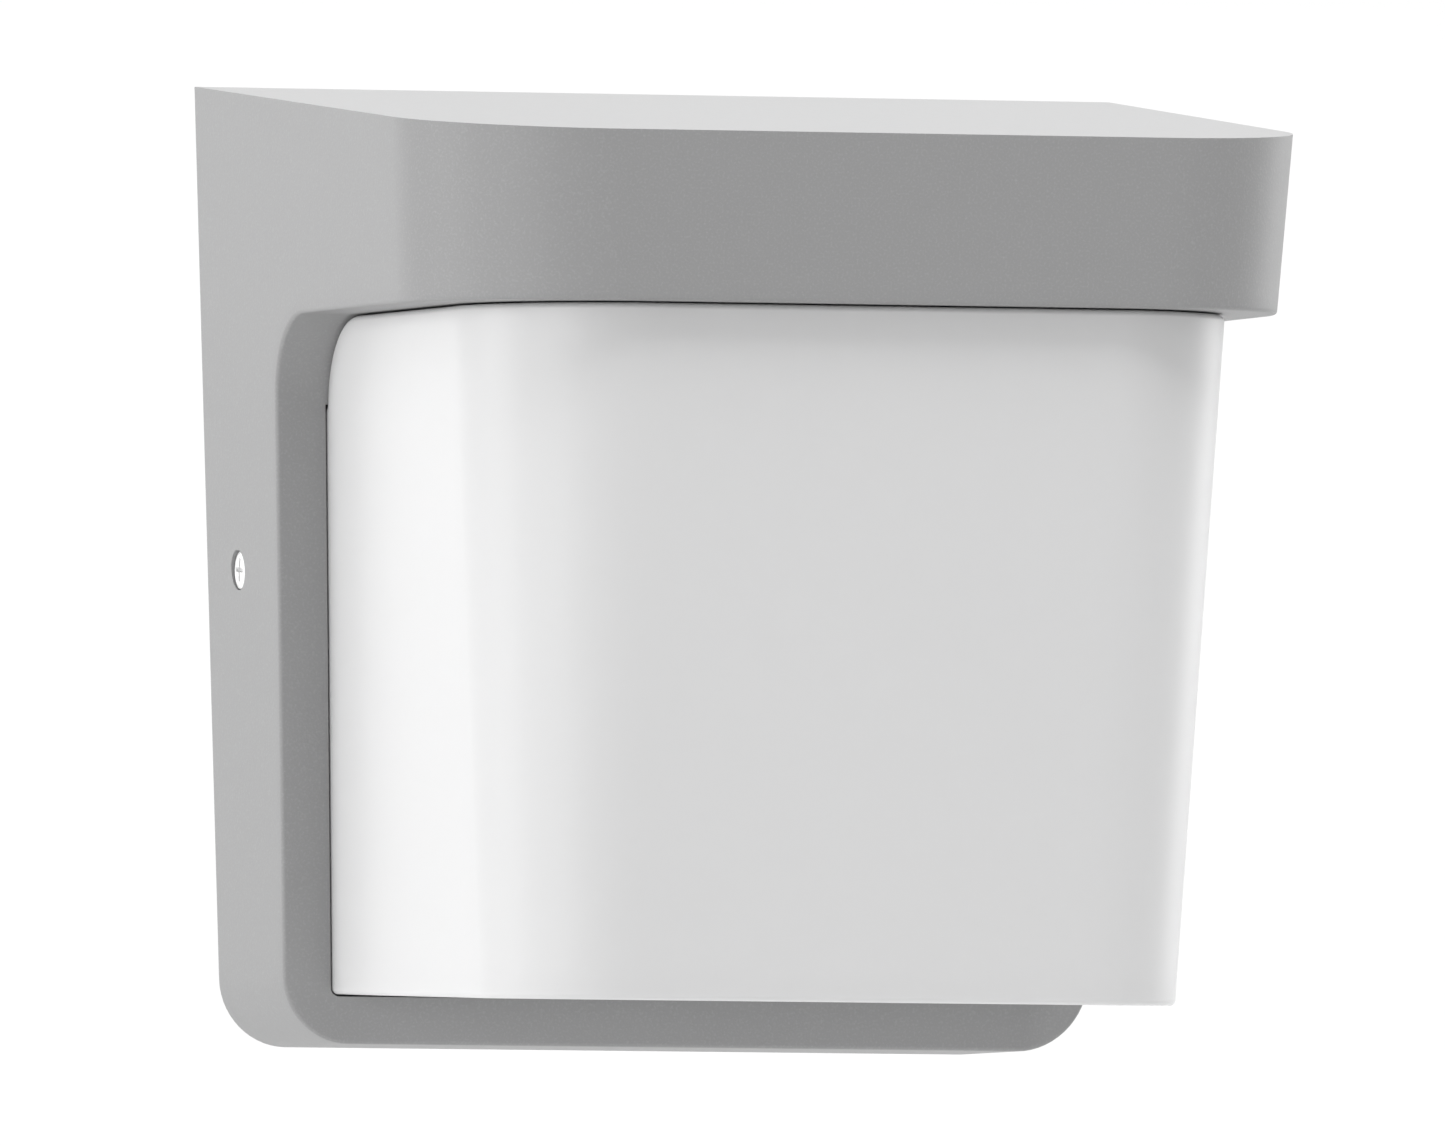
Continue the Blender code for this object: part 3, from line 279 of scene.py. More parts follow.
@dataclass(frozen=True)
class Finish:
    """One procedural finish.

    A base colour drifts slowly to a second one, fine grain lifts the surface and breaks the
    gloss, and drawn streaks are added where the metal is rolled or turned.
    """

    name: str
    colour: Colour
    other: Colour
    roughness: float = 0.5
    metallic: float = 0.0
    grain_scale: float = 2500.0
    grain_bump: float = 0.1
    bump_distance: float = 0.00005
    speck_tone: float = 0.0
    roughness_spread: float = 0.06
    mottle_scale: float = 25.0
    mottle_amount: float = 0.5
    streak_scale: float = 0.0
    streak_bump: float = 0.0
    coat: float = 0.0
    coat_roughness: float = 0.1
    sheen: float = 0.0
    subsurface: float = 0.0
    specular: float = 0.5
    glow: float = 0.0

    def material(self) -> bpy.types.Material:
        """Build the finish's material, or find it if it was built before.

        Returns:
            The material.
        """
        found = bpy.data.materials.get(self.name)
        if found is not None:
            return found
        material = bpy.data.materials.new(self.name)
        material.use_nodes = True
        sheet = NodeSheet(material.node_tree)
        shader = material.node_tree.nodes["Principled BSDF"]
        coordinates = sheet.add("ShaderNodeTexCoord").outputs["Object"]
        colour = self._tone(sheet, coordinates)
        grain = sheet.add("ShaderNodeGroup", node_tree=EFFECTS.grain)
        sheet.join(coordinates, grain.inputs["Vector"])
        grain.inputs["Scale"].default_value = self.grain_scale
        if self.speck_tone:
            lighter = tuple(min(c * (1.0 + self.speck_tone), 1.0) for c in self.colour)
            colour = sheet.blend(grain.outputs["Specks"], colour, lighter)
        sheet.join(colour, shader.inputs["Base Color"])
        self._gloss(sheet, shader, grain)
        self._relief(sheet, shader, grain, coordinates)
        self._plain_values(shader)
        return material

    def _tone(self, sheet: NodeSheet, coordinates: bpy.types.NodeSocket) -> bpy.types.NodeSocket:
        """Colour that drifts over the surface.

        Args:
            sheet: The material's sheet.
            coordinates: Object coordinates.

        Returns:
            The colour's socket.
        """
        mottle = sheet.add("ShaderNodeGroup", node_tree=EFFECTS.mottle)
        sheet.join(coordinates, mottle.inputs["Vector"])
        mottle.inputs["Scale"].default_value = self.mottle_scale
        mottle.inputs["Color"].default_value = (*self.colour, 1.0)
        mottle.inputs["Other"].default_value = (*self.other, 1.0)
        mottle.inputs["Amount"].default_value = self.mottle_amount
        return mottle.outputs["Color"]

    def _gloss(self, sheet: NodeSheet, shader: bpy.types.Node, grain: bpy.types.Node) -> None:
        """Roughness: its middle value plus the grain's share.

        Args:
            sheet: The material's sheet.
            shader: The surface shader.
            grain: The grain group's node.
        """
        spread = sheet.math("MULTIPLY", grain.outputs["Height"], self.roughness_spread)
        base = self.roughness - 0.7 * self.roughness_spread
        sheet.join(sheet.math("ADD", spread, base), shader.inputs["Roughness"])

    def _relief(
        self,
        sheet: NodeSheet,
        shader: bpy.types.Node,
        grain: bpy.types.Node,
        coordinates: bpy.types.NodeSocket,
    ) -> None:
        """Bump from the grain and, where there are any, the drawn streaks.

        Args:
            sheet: The material's sheet.
            shader: The surface shader.
            grain: The grain group's node.
            coordinates: Object coordinates.
        """
        height = sheet.math("MULTIPLY", grain.outputs["Height"], self.grain_bump)
        if self.streak_scale:
            streaks = sheet.add("ShaderNodeGroup", node_tree=EFFECTS.streaks)
            sheet.join(coordinates, streaks.inputs["Vector"])
            streaks.inputs["Scale"].default_value = self.streak_scale
            marks = sheet.math("MULTIPLY", streaks.outputs["Height"], self.streak_bump)
            height = sheet.math("ADD", height, marks)
        bump = sheet.add("ShaderNodeBump")
        bump.inputs["Strength"].default_value = 1.0
        bump.inputs["Distance"].default_value = self.bump_distance
        sheet.join(height, bump.inputs["Height"])
        sheet.join(bump.outputs["Normal"], shader.inputs["Normal"])

    def _plain_values(self, shader: bpy.types.Node) -> None:
        """Set what is the same all over the surface."""
        shader.inputs["Metallic"].default_value = self.metallic
        shader.inputs["Coat Weight"].default_value = self.coat
        shader.inputs["Coat Roughness"].default_value = self.coat_roughness
        shader.inputs["Sheen Weight"].default_value = self.sheen
        shader.inputs["Specular IOR Level"].default_value = self.specular
        if self.glow:
            shader.inputs["Emission Color"].default_value = (1.0, 1.0, 1.0, 1.0)
            shader.inputs["Emission Strength"].default_value = self.glow
        if self.subsurface:
            shader.inputs["Subsurface Weight"].default_value = self.subsurface
            shader.inputs["Subsurface Radius"].default_value = (1.0, 1.0, 1.0)
            shader.inputs["Subsurface Scale"].default_value = 0.004


@dataclass(frozen=True)
class StripedSleeve:
    """Lead insulation with one lengthwise stripe, laid out on the lead's own UV map."""

    name: str
    colour: Colour
    stripe: Colour
    roughness: float = 0.42

    def material(self) -> bpy.types.Material:
        """Build the sleeve's material.

        Returns:
            The material.
        """
        material = bpy.data.materials.new(self.name)
        material.use_nodes = True
        sheet = NodeSheet(material.node_tree)
        shader = material.node_tree.nodes["Principled BSDF"]
        texture = sheet.add("ShaderNodeTexCoord")
        parts = sheet.add("ShaderNodeSeparateXYZ")
        sheet.join(texture.outputs["UV"], parts.inputs[0])
        twisted = sheet.math("ADD", parts.outputs[1], sheet.math("MULTIPLY", parts.outputs[0], 12.0))
        wave = sheet.math("SINE", sheet.math("MULTIPLY", twisted, TURN), 0.0)
        mask = sheet.math("GREATER_THAN", wave, 0.25)
        grain = sheet.add("ShaderNodeGroup", node_tree=EFFECTS.grain)
        sheet.join(texture.outputs["Object"], grain.inputs["Vector"])
        grain.inputs["Scale"].default_value = 5000.0
        sheet.join(sheet.blend(mask, self.colour, self.stripe), shader.inputs["Base Color"])
        spread = sheet.math("MULTIPLY", grain.outputs["Height"], 0.08)
        sheet.join(sheet.math("ADD", spread, self.roughness - 0.06), shader.inputs["Roughness"])
        bump = sheet.add("ShaderNodeBump")
        bump.inputs["Distance"].default_value = 0.00001
        sheet.join(grain.outputs["Height"], bump.inputs["Height"])
        sheet.join(bump.outputs["Normal"], shader.inputs["Normal"])
        return material


POWDER_COAT = Finish(
    "powder_coat_grey",
    (0.268, 0.268, 0.270),
    (0.258, 0.258, 0.259),
    roughness=0.50,
    grain_scale=1900.0,
    grain_bump=0.55,
    bump_distance=0.00006,
    speck_tone=0.16,
    roughness_spread=0.10,
)
OPAL = Finish(
    "opal_acrylic",
    (0.632, 0.632, 0.634),
    (0.618, 0.618, 0.622),
    roughness=0.42,
    grain_scale=3200.0,
    grain_bump=0.16,
    bump_distance=0.00002,
    roughness_spread=0.05,
    mottle_scale=14.0,
    subsurface=0.25,
)
LOCK_HEAD = Finish(
    "satin_screw_head",
    (0.82, 0.82, 0.82),
    (0.78, 0.78, 0.78),
    roughness=0.42,
    metallic=0.35,
    grain_scale=5200.0,
    grain_bump=0.25,
    bump_distance=0.00003,
)
RUBBER = Finish(
    "soft_rubber",
    (0.028, 0.028, 0.029),
    (0.042, 0.042, 0.042),
    roughness=0.78,
    grain_scale=3800.0,
    grain_bump=0.6,
)
ZINC = Finish(
    "zinc_plated_sheet",
    (0.60, 0.61, 0.63),
    (0.50, 0.51, 0.54),
    roughness=0.36,
    metallic=1.0,
    grain_scale=1400.0,
    grain_bump=0.12,
    streak_scale=700.0,
    streak_bump=0.35,
    mottle_scale=120.0,
    roughness_spread=0.16,
)
STAINLESS = Finish(
    "stainless_turned",
    (0.74, 0.74, 0.74),
    (0.66, 0.66, 0.67),
    roughness=0.27,
    metallic=1.0,
    grain_scale=5200.0,
    grain_bump=0.25,
    bump_distance=0.00003,
    streak_scale=1900.0,
    streak_bump=0.30,
    roughness_spread=0.14,
)
BRASS = Finish(
    "bare_brass",
    (0.72, 0.51, 0.22),
    (0.60, 0.40, 0.16),
    roughness=0.30,
    metallic=1.0,
    grain_scale=3000.0,
    grain_bump=0.15,
    mottle_scale=180.0,
    roughness_spread=0.14,
)
NICKEL = Finish(
    "nickel_plated_cap",
    (0.70, 0.68, 0.64),
    (0.60, 0.58, 0.54),
    roughness=0.24,
    metallic=1.0,
    grain_scale=3000.0,
    grain_bump=0.10,
    mottle_scale=150.0,
    roughness_spread=0.12,
)
PORCELAIN = Finish(
    "glazed_porcelain",
    (0.80, 0.79, 0.75),
    (0.76, 0.74, 0.69),
    roughness=0.30,
    grain_scale=900.0,
    grain_bump=0.10,
    mottle_scale=60.0,
    coat=0.8,
    coat_roughness=0.07,
)
WHITE_PLASTIC = Finish(
    "moulded_white",
    (0.80, 0.80, 0.78),
    (0.77, 0.77, 0.74),
    roughness=0.40,
    grain_scale=2600.0,
    grain_bump=0.18,
)
LAMP_OPAL = Finish(
    "frosted_globe",
    (0.88, 0.88, 0.87),
    (0.85, 0.85, 0.84),
    roughness=0.34,
    grain_scale=4200.0,
    grain_bump=0.08,
    subsurface=0.3,
)
BLACK_GLASS = Finish(
    "black_glass",
    (0.012, 0.012, 0.014),
    (0.02, 0.02, 0.02),
    roughness=0.10,
    grain_scale=900.0,
    grain_bump=0.05,
)
NYLON = Finish(
    "natural_nylon",
    (0.76, 0.74, 0.67),
    (0.72, 0.70, 0.62),
    roughness=0.45,
    grain_scale=3400.0,
    grain_bump=0.15,
)
BROWN_SLEEVE = Finish(
    "brown_sleeve",
    (0.13, 0.05, 0.02),
    (0.11, 0.04, 0.016),
    roughness=0.42,
    grain_scale=5000.0,
    grain_bump=0.1,
)
BLUE_SLEEVE = Finish(
    "blue_sleeve",
    (0.03, 0.12, 0.42),
    (0.025, 0.10, 0.37),
    roughness=0.42,
    grain_scale=5000.0,
    grain_bump=0.1,
)
EARTH_SLEEVE = StripedSleeve("earth_sleeve", (0.10, 0.36, 0.05), (0.78, 0.66, 0.05))


# ------------------------------------------------------------------ surface helpers


class Patchwork:
    """Rows of points joined by strips, ladders and polygons into one mesh."""

    def __init__(self) -> None:
        """Start with no points and no faces."""
        self.rows: List[np.ndarray] = []
        self.faces: List[Tuple[int, ...]] = []
        self.count = 0

    def row(self, points: np.ndarray) -> np.ndarray:
        """Add a row of points.

        Args:
            points: Array of shape (n, 3).

        Returns:
            The points' numbers, shape (n,).
        """
        numbers = np.arange(self.count, self.count + len(points))
        self.rows.append(np.asarray(points, float))
        self.count += len(points)
        return numbers

    def strip(self, low: np.ndarray, high: np.ndarray, closed: bool = False) -> None:
        """Quads between two rows of the same length.

        Args:
            low: Numbers of the first row.
            high: Numbers of the second row.
            closed: Whether the last quad joins the ends.
        """
        if closed:
            low = np.append(low, low[0])
            high = np.append(high, high[0])
        quads = np.stack((low[:-1], low[1:], high[1:], high[:-1]), axis=1)
        self.faces.extend(map(tuple, quads.tolist()))

    def grid(self, rows: Sequence[np.ndarray], closed: bool = False) -> List[np.ndarray]:
        """Rows of points and the strips between them.

        Args:
            rows: Arrays of shape (n, 3).
            closed: Whether each row is a loop.

        Returns:
            The numbers of each row.
        """
        numbered = [self.row(points) for points in rows]
        for low, high in zip(numbered, numbered[1:]):
            self.strip(low, high, closed)
        return numbered

    def ladder(self, left: np.ndarray, right: np.ndarray, front: np.ndarray) -> None:
        """Rungs from one side to the other, closed at the front by one polygon.

        Args:
            left: Numbers of the left side from back to front.
            right: Numbers of the right side from back to front.
            front: Numbers of the front edge between the two sides, left to right.
        """
        self.strip(left[:-1], right[:-1])
        loop = [left[-2], left[-1], *front.tolist(), right[-1], right[-2]]
        self.faces.append(tuple(int(number) for number in loop))

    def polygon(self, numbers: Sequence[int]) -> None:
        """One face round the given points."""
        self.faces.append(tuple(int(number) for number in numbers))

    def build(self, name: str) -> bpy.types.Object:
        """Make the mesh, merge points that meet and turn the faces outwards.

        Args:
            name: The piece's name.

        Returns:
            The new object, at the origin.
        """
        mesh = bpy.data.meshes.new(name)
        mesh.from_pydata(np.concatenate(self.rows).tolist(), [], self.faces)
        work = bmesh.new()
        work.from_mesh(mesh)
        bmesh.ops.remove_doubles(work, verts=work.verts, dist=MERGE_DISTANCE)
        bmesh.ops.recalc_face_normals(work, faces=work.faces)
        work.to_mesh(mesh)
        work.free()
        mesh.polygons.foreach_set("use_smooth", np.ones(len(mesh.polygons), bool))
        item = bpy.data.objects.new(name, mesh)
        bpy.context.scene.collection.objects.link(item)
        return item


def to_world(points: np.ndarray) -> np.ndarray:
    """Turn (x, depth from the rear rim, height above the lowest edge) into world coordinates.

    Args:
        points: Array of shape (n, 3).

    Returns:
        Array of shape (n, 3): x, minus the depth less the rear gap, height less the origin's.
    """
    return np.stack((points[:, 0], -(REAR_GAP + points[:, 1]), points[:, 2] - ORIGIN_HEIGHT), axis=1)


def unit(vectors: np.ndarray) -> np.ndarray:
    """Each row divided by its length."""
    return vectors / np.linalg.norm(vectors, axis=-1, keepdims=True)


def mirrored(points: np.ndarray) -> np.ndarray:
    """The same points with x turned round."""
    return points * np.array((-1.0, 1.0, 1.0))


def turned(
    name: str,
    profile: np.ndarray,
    foot: Point,
    axis: Point,
    segments: int = 64,
    ring: bool = False,
    waviness: Optional[Callable[[np.ndarray, np.ndarray], np.ndarray]] = None,
) -> bpy.types.Object:
    """Surface of revolution: each profile point (radius, height) goes once round the axis.

    Args:
        name: The piece's name.
        profile: Array of shape (n, 2).
        foot: Point on the axis at height 0.
        axis: Direction of the axis.
        segments: Points round the axis.
        ring: Whether the profile closes on itself, as a tube's does.
        waviness: Extra radius from the angle and the height, such as a thread.

    Returns:
        The new object.
    """
    direction = unit(np.array(axis, float))
    helper = np.array((0.0, 0.0, 1.0)) if abs(direction[2]) < 0.9 else np.array((1.0, 0.0, 0.0))
    across = unit(np.cross(helper, direction))
    upward = np.cross(direction, across)
    angles = np.linspace(0.0, TURN, segments, endpoint=False)
    radius = np.repeat(profile[:, :1], segments, axis=1)
    height = np.repeat(profile[:, 1:], segments, axis=1)
    if waviness is not None:
        radius = radius + np.where(radius > 0.0, waviness(angles[None, :], height), 0.0)
    points = np.array(foot) + height[..., None] * direction
    points = points + (radius * np.cos(angles))[..., None] * across
    points = points + (radius * np.sin(angles))[..., None] * upward
    work = Patchwork()
    numbered = work.grid(list(points), closed=True)
    if ring:
        work.strip(numbered[-1], numbered[0], closed=True)
    return work.build(name)


def rounded_profile(corners: Sequence[Tuple[float, float, float]], steps: int = 5) -> np.ndarray:
    """Profile whose corners are rounded by an arc that touches both neighbours.

    Args:
        corners: (radius, height, rounding) of each corner.
        steps: Points on each arc.

    Returns:
        Array of shape (n, 2).
    """
    sites = np.array([corner[:2] for corner in corners], float)
    out = [sites[:1]]
    for before, here, after, corner in zip(sites, sites[1:], sites[2:], corners[1:]):
        reach = corner[2]
        if reach <= 0.0:
            out.append(here[None])
            continue
        back, forward = unit(before - here), unit(after - here)
        share = np.linspace(0.0, 1.0, steps)[:, None]
        start, stop = here + back * reach, here + forward * reach
        out.append((1 - share) ** 2 * start + 2 * share * (1 - share) * here + share**2 * stop)
    out.append(sites[-1:])
    return np.concatenate(out)


def soften(item: bpy.types.Object, width: float, segments: int = 3, limit: float = 40.0) -> bpy.types.Object:
    """Round the sharp edges with a live bevel that keeps the flat faces' normals.

    Args:
        item: The piece.
        width: Width of the rounding in metres.
        segments: Steps across it.
        limit: Smallest angle that counts as an edge, in degrees.

    Returns:
        The same piece.
    """
    bevel = item.modifiers.new("edge_round", "BEVEL")
    bevel.width = width
    bevel.segments = segments
    bevel.limit_method = "ANGLE"
    bevel.angle_limit = math.radians(limit)
    bevel.harden_normals = True
    return item


def settle(item: bpy.types.Object, body: Body, finish: object, slot: str, *nodes: str) -> bpy.types.Object:
    """Dress a new piece, put it on its body and let it stand for nodes of the frame.

    Args:
        item: The piece.
        body: The body that carries it.
        finish: The finish, which has a material method.
        slot: The record's material slot; not used.
        nodes: Nodes that the piece replaces.

    Returns:
        The same piece.
    """
    item.data.materials.clear()
    item.data.materials.append(finish.material())
    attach(item, body.value)
    if nodes:
        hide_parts(*nodes)
    LOG.info("%s: %d faces on %s", item.name, len(item.data.polygons), body.value)
    return item


def dress(node: str, finish: Finish) -> None:
    """Give a node of the frame its finish.

    Args:
        node: The node's name.
        finish: The finish.
    """
    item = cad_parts[node]
    item.data.materials.clear()
    item.data.materials.append(finish.material())
    LOG.info("%s: dressed with %s", node, finish.name)


# ------------------------------------------------------------------ housing


@dataclass
class Housing:
    """Die-cast housing: a frame on the wall and a deep hood over the diffuser."""

    height: float = 0.199
    top_half_width: float = 0.100
    side_draft: float = 0.061
    plan_taper: float = 0.0266
    hood_depth: float = 0.159
    hood_corner: float = 0.037
    underside_front: float = 0.164
    underside_slope: float = 0.088
    frame_depth: float = 0.0398
    frame_lean: float = 0.042
    bottom_slope: float = 0.084
    lower_corner: float = 0.014
    cove_radius: float = 0.0195
    wall: float = 0.003
    edge_round: float = 0.0008
    shadow_gap: float = 0.0004
    lock_depth: float = 0.019
    lock_height: float = 0.100
    recess_radius: float = 0.0042
    counts: Dict[str, int] = field(
        default_factory=lambda: {
            "bottom": 10,
            "low": 14,
            "side": 18,
            "cove": 18,
            "under": 10,
            "corner": 32,
            "front": 12,
        }
    )

    def half_width(self, depth: np.ndarray, z: np.ndarray) -> np.ndarray:
        """Half width: the top's, less a share of the depth and of the drop below the top."""
        return self.top_half_width - self.plan_taper * depth - self.side_draft * (self.height - z)

    def frame_face(self, z: np.ndarray) -> np.ndarray:
        """Depth of the frame's front face, which leans forward with height."""
        return self.frame_depth + self.frame_lean * z

    def underside(self, depth: np.ndarray) -> np.ndarray:
        """Height of the hood's underside, which rises towards the front."""
        return self.underside_front - self.underside_slope * (self.hood_depth - depth)

    def cove_centre(self) -> Tuple[float, float]:
        """Centre of the cove.

        Returns:
            (depth, z) of the point at one cove radius from both the frame face and the underside.
        """
        push_depth = self.cove_radius * math.hypot(1.0, self.frame_lean)
        push_z = self.cove_radius * math.hypot(1.0, self.underside_slope)
        base_z = self.underside_front - self.underside_slope * self.hood_depth - push_z
        reach = self.frame_depth + push_depth + self.frame_lean * base_z
        depth = reach / (1.0 - self.frame_lean * self.underside_slope)
        return depth, base_z + self.underside_slope * depth

    def marks(self) -> Dict[str, int]:
        """Number of the last station of each stretch of the left half."""
        total, found = 0, {}
        for name, count in self.counts.items():
            total += count
            found[name] = total
        return found

    def stations(self, inset: float) -> Dict[str, np.ndarray]:
        """Left half of the loop that runs along the cut edge, from bottom centre to front centre.

        Each station has an edge point, a far point on the rear rim or on the top edge, and the two
        directions that leave the edge: along the outer wall and along the cut face.

        Args:
            inset: Distance inside the outer skin, 0 for the skin itself.

        Returns:
            Arrays "edge", "far", "along" and "into", each of shape (n, 3) as (x, depth, z).
        """
        parts = [self._bottom(inset), self._low_corner(inset), self._side(inset), self._cove(inset)]
        parts += [self._under(inset), self._corner(inset), self._front(inset)]
        joined = {key: np.concatenate([part[key] for part in parts]) for key in ("edge", "far", "into")}
        joined["along"] = self._along(joined, inset)
        return joined

    def _face_depth(self, lift: np.ndarray, inset: float) -> np.ndarray:
        """Depth where a line that rises from lift at the bottom's slope meets the frame face."""
        reach = self.frame_depth - inset + self.frame_lean * lift
        return reach / (1.0 - self.frame_lean * self.bottom_slope)

    def _bottom(self, inset: float) -> Dict[str, np.ndarray]:
        """Bottom edge from the centre to the lower corner."""
        share = np.linspace(0.0, 1.0, self.counts["bottom"] + 1)
        lift = np.full_like(share, inset)
        narrowing = np.full_like(share, self.lower_corner - inset)
        return self._low_points(inset, lift, share, narrowing, np.zeros_like(share))

    def _low_corner(self, inset: float) -> Dict[str, np.ndarray]:
        """Lower corner: lift and narrowing follow a quarter circle."""
        angle = np.linspace(0.0, 0.5 * math.pi, self.counts["low"] + 1)[1:]
        radius = self.lower_corner - inset
        lift = inset + radius * (1.0 - np.cos(angle))
        return self._low_points(inset, lift, np.ones_like(angle), radius * (1.0 - np.sin(angle)), angle)

    def _low_points(
        self, inset: float, lift: np.ndarray, share: np.ndarray, narrowing: np.ndarray, angle: np.ndarray
    ) -> Dict[str, np.ndarray]:
        """Edge and far points of stations on the bottom and the lower corner."""
        depth = self._face_depth(lift, inset)
        points = []
        for reach in (depth, np.zeros_like(depth)):
            z = lift + self.bottom_slope * reach
            x = -share * (self.half_width(reach, z) - inset - narrowing)
            points.append(np.stack((x, reach, z), axis=1))
        upward = unit(np.array((0.0, self.frame_lean, 1.0)))
        into = np.cos(angle)[:, None] * upward + np.sin(angle)[:, None] * np.array((1.0, 0.0, 0.0))
        return {"edge": points[0], "far": points[1], "into": into}

    def _side_points(self, depth: np.ndarray, z: np.ndarray, inset: float) -> np.ndarray:
        """Points on the left side wall."""
        return np.stack((-(self.half_width(depth, z) - inset), depth, z), axis=1)

    def _cove_start(self, inset: float) -> Tuple[float, float, float, float]:
        """Cove centre and its radius at this inset, and the start angle."""
        depth, z = self.cove_centre()
        return depth, z, self.cove_radius + inset, math.pi - math.atan(self.frame_lean)

    def _side(self, inset: float) -> Dict[str, np.ndarray]:
        """Frame's side edge from the lower corner to the start of the cove."""
        share = np.linspace(0.0, 1.0, self.counts["side"] + 1)[1:]
        centre_depth, centre_z, radius, start = self._cove_start(inset)
        low_depth = self._face_depth(np.array(self.lower_corner), inset)
        low_z = self.lower_corner + self.bottom_slope * low_depth
        top_depth, top_z = centre_depth + radius * math.cos(start), centre_z + radius * math.sin(start)
        depth, z = low_depth + (top_depth - low_depth) * share, low_z + (top_z - low_z) * share
        edge = self._side_points(depth, z, inset)
        far_z = self.lower_corner + (0.148 - self.lower_corner) * share
        far = self._side_points(np.zeros_like(share), far_z, inset)
        return {"edge": edge, "far": far, "into": np.tile((1.0, 0.0, 0.0), (len(share), 1))}

    def _cove(self, inset: float) -> Dict[str, np.ndarray]:
        """Cove: a circular arc from the frame face up to the hood's underside."""
        share = np.linspace(0.0, 1.0, self.counts["cove"] + 1)[1:]
        centre_depth, centre_z, radius, start = self._cove_start(inset)
        stop = 0.5 * math.pi + math.atan(self.underside_slope)
        angle = start + (stop - start) * share
        depth, z = centre_depth + radius * np.cos(angle), centre_z + radius * np.sin(angle)
        edge = self._side_points(depth, z, inset)
        far_z = 0.148 + (self.height - inset - 0.148) * share
        far = self._side_points(np.zeros_like(share), far_z, inset)
        return {"edge": edge, "far": far, "into": np.tile((1.0, 0.0, 0.0), (len(share), 1))}

    def _under_height(self, depth: np.ndarray, inset: float) -> np.ndarray:
        """Height of the underside, moved up by the inset at right angles to it."""
        return self.underside(depth) + inset * math.hypot(1.0, self.underside_slope)

    def _under(self, inset: float) -> Dict[str, np.ndarray]:
        """Side edge of the underside from the cove to the hood's front corner."""
        share = np.linspace(0.0, 1.0, self.counts["under"] + 1)[1:]
        centre_depth, _, radius, _ = self._cove_start(inset)
        first = centre_depth + radius * math.cos(0.5 * math.pi + math.atan(self.underside_slope))
        last = self.hood_depth - self.hood_corner
        depth = first + (last - first) * share
        edge = self._side_points(depth, self._under_height(depth, inset), inset)
        far = self._side_points(last * share, np.full_like(share, self.height - inset), inset)
        return {"edge": edge, "far": far, "into": np.tile((1.0, 0.0, 0.0), (len(share), 1))}

    def _corner(self, inset: float) -> Dict[str, np.ndarray]:
        """Hood's rounded front corner, a quarter circle in plan."""
        angle = np.linspace(0.0, 0.5 * math.pi, self.counts["corner"] + 1)[1:]
        radius = self.hood_corner - inset
        depth = self.hood_depth - inset - radius + radius * np.sin(angle)
        points = []
        for z in (self._under_height(depth, inset), np.full_like(depth, self.height - inset)):
            x = -(self.half_width(depth, z) - inset - radius * (1.0 - np.cos(angle)))
            points.append(np.stack((x, depth, z), axis=1))
        backward = unit(np.array((0.0, -1.0, -self.underside_slope)))
        into = np.cos(angle)[:, None] * np.array((1.0, 0.0, 0.0)) + np.sin(angle)[:, None] * backward
        return {"edge": points[0], "far": points[1], "into": into}

    def _front(self, inset: float) -> Dict[str, np.ndarray]:
        """Hood's front edge from the corner to the centre."""
        share = np.linspace(1.0, 0.0, self.counts["front"] + 1)[1:]
        depth = np.full_like(share, self.hood_depth - inset)
        points = []
        for z in (self._under_height(depth, inset), np.full_like(depth, self.height - inset)):
            x = -share * (self.half_width(depth, z) - inset - (self.hood_corner - inset))
            points.append(np.stack((x, depth, z), axis=1))
        backward = unit(np.array((0.0, -1.0, -self.underside_slope)))
        return {"edge": points[0], "far": points[1], "into": np.tile(backward, (len(share), 1))}

    def _along(self, joined: Dict[str, np.ndarray], inset: float) -> np.ndarray:
        """Direction from the edge along the outer wall, at right angles to the edge.

        On the flat side it is the edge's own normal in the side's plane, blended into the ruling
        of the neighbouring stretches at both ends.
        """
        ruling = unit(joined["far"] - joined["edge"])
        marks = self.marks()
        centre_depth, centre_z, _, _ = self._cove_start(inset)
        radial = unit(joined["edge"][:, 1:] - np.array((centre_depth, centre_z)))
        normal = radial.copy()
        normal[: marks["side"]] = unit(np.array((-1.0, self.frame_lean)))
        normal[marks["cove"] + 1 :] = unit(np.array((-self.underside_slope, 1.0)))
        slant = self.plan_taper * normal[:, 0] - self.side_draft * normal[:, 1]
        flat = unit(np.column_stack((slant, normal)))
        number = np.arange(len(ruling), dtype=float)
        rise = np.clip((number - marks["low"]) / self.counts["side"], 0.0, 1.0)
        fall = np.clip((marks["under"] - number) / self.counts["under"], 0.0, 1.0)
        weight = (rise * fall)[:, None]
        return unit(weight * flat + (1.0 - weight) * ruling)

    @staticmethod
    def whole(left: np.ndarray) -> np.ndarray:
        """Close a left half into the whole loop in world coordinates.

        Args:
            left: Array of shape (n, 3) as (x, depth, z).

        Returns:
            Array of shape (2n - 2, 3).
        """
        return to_world(np.concatenate((left, mirrored(left[1:-1][::-1]))))

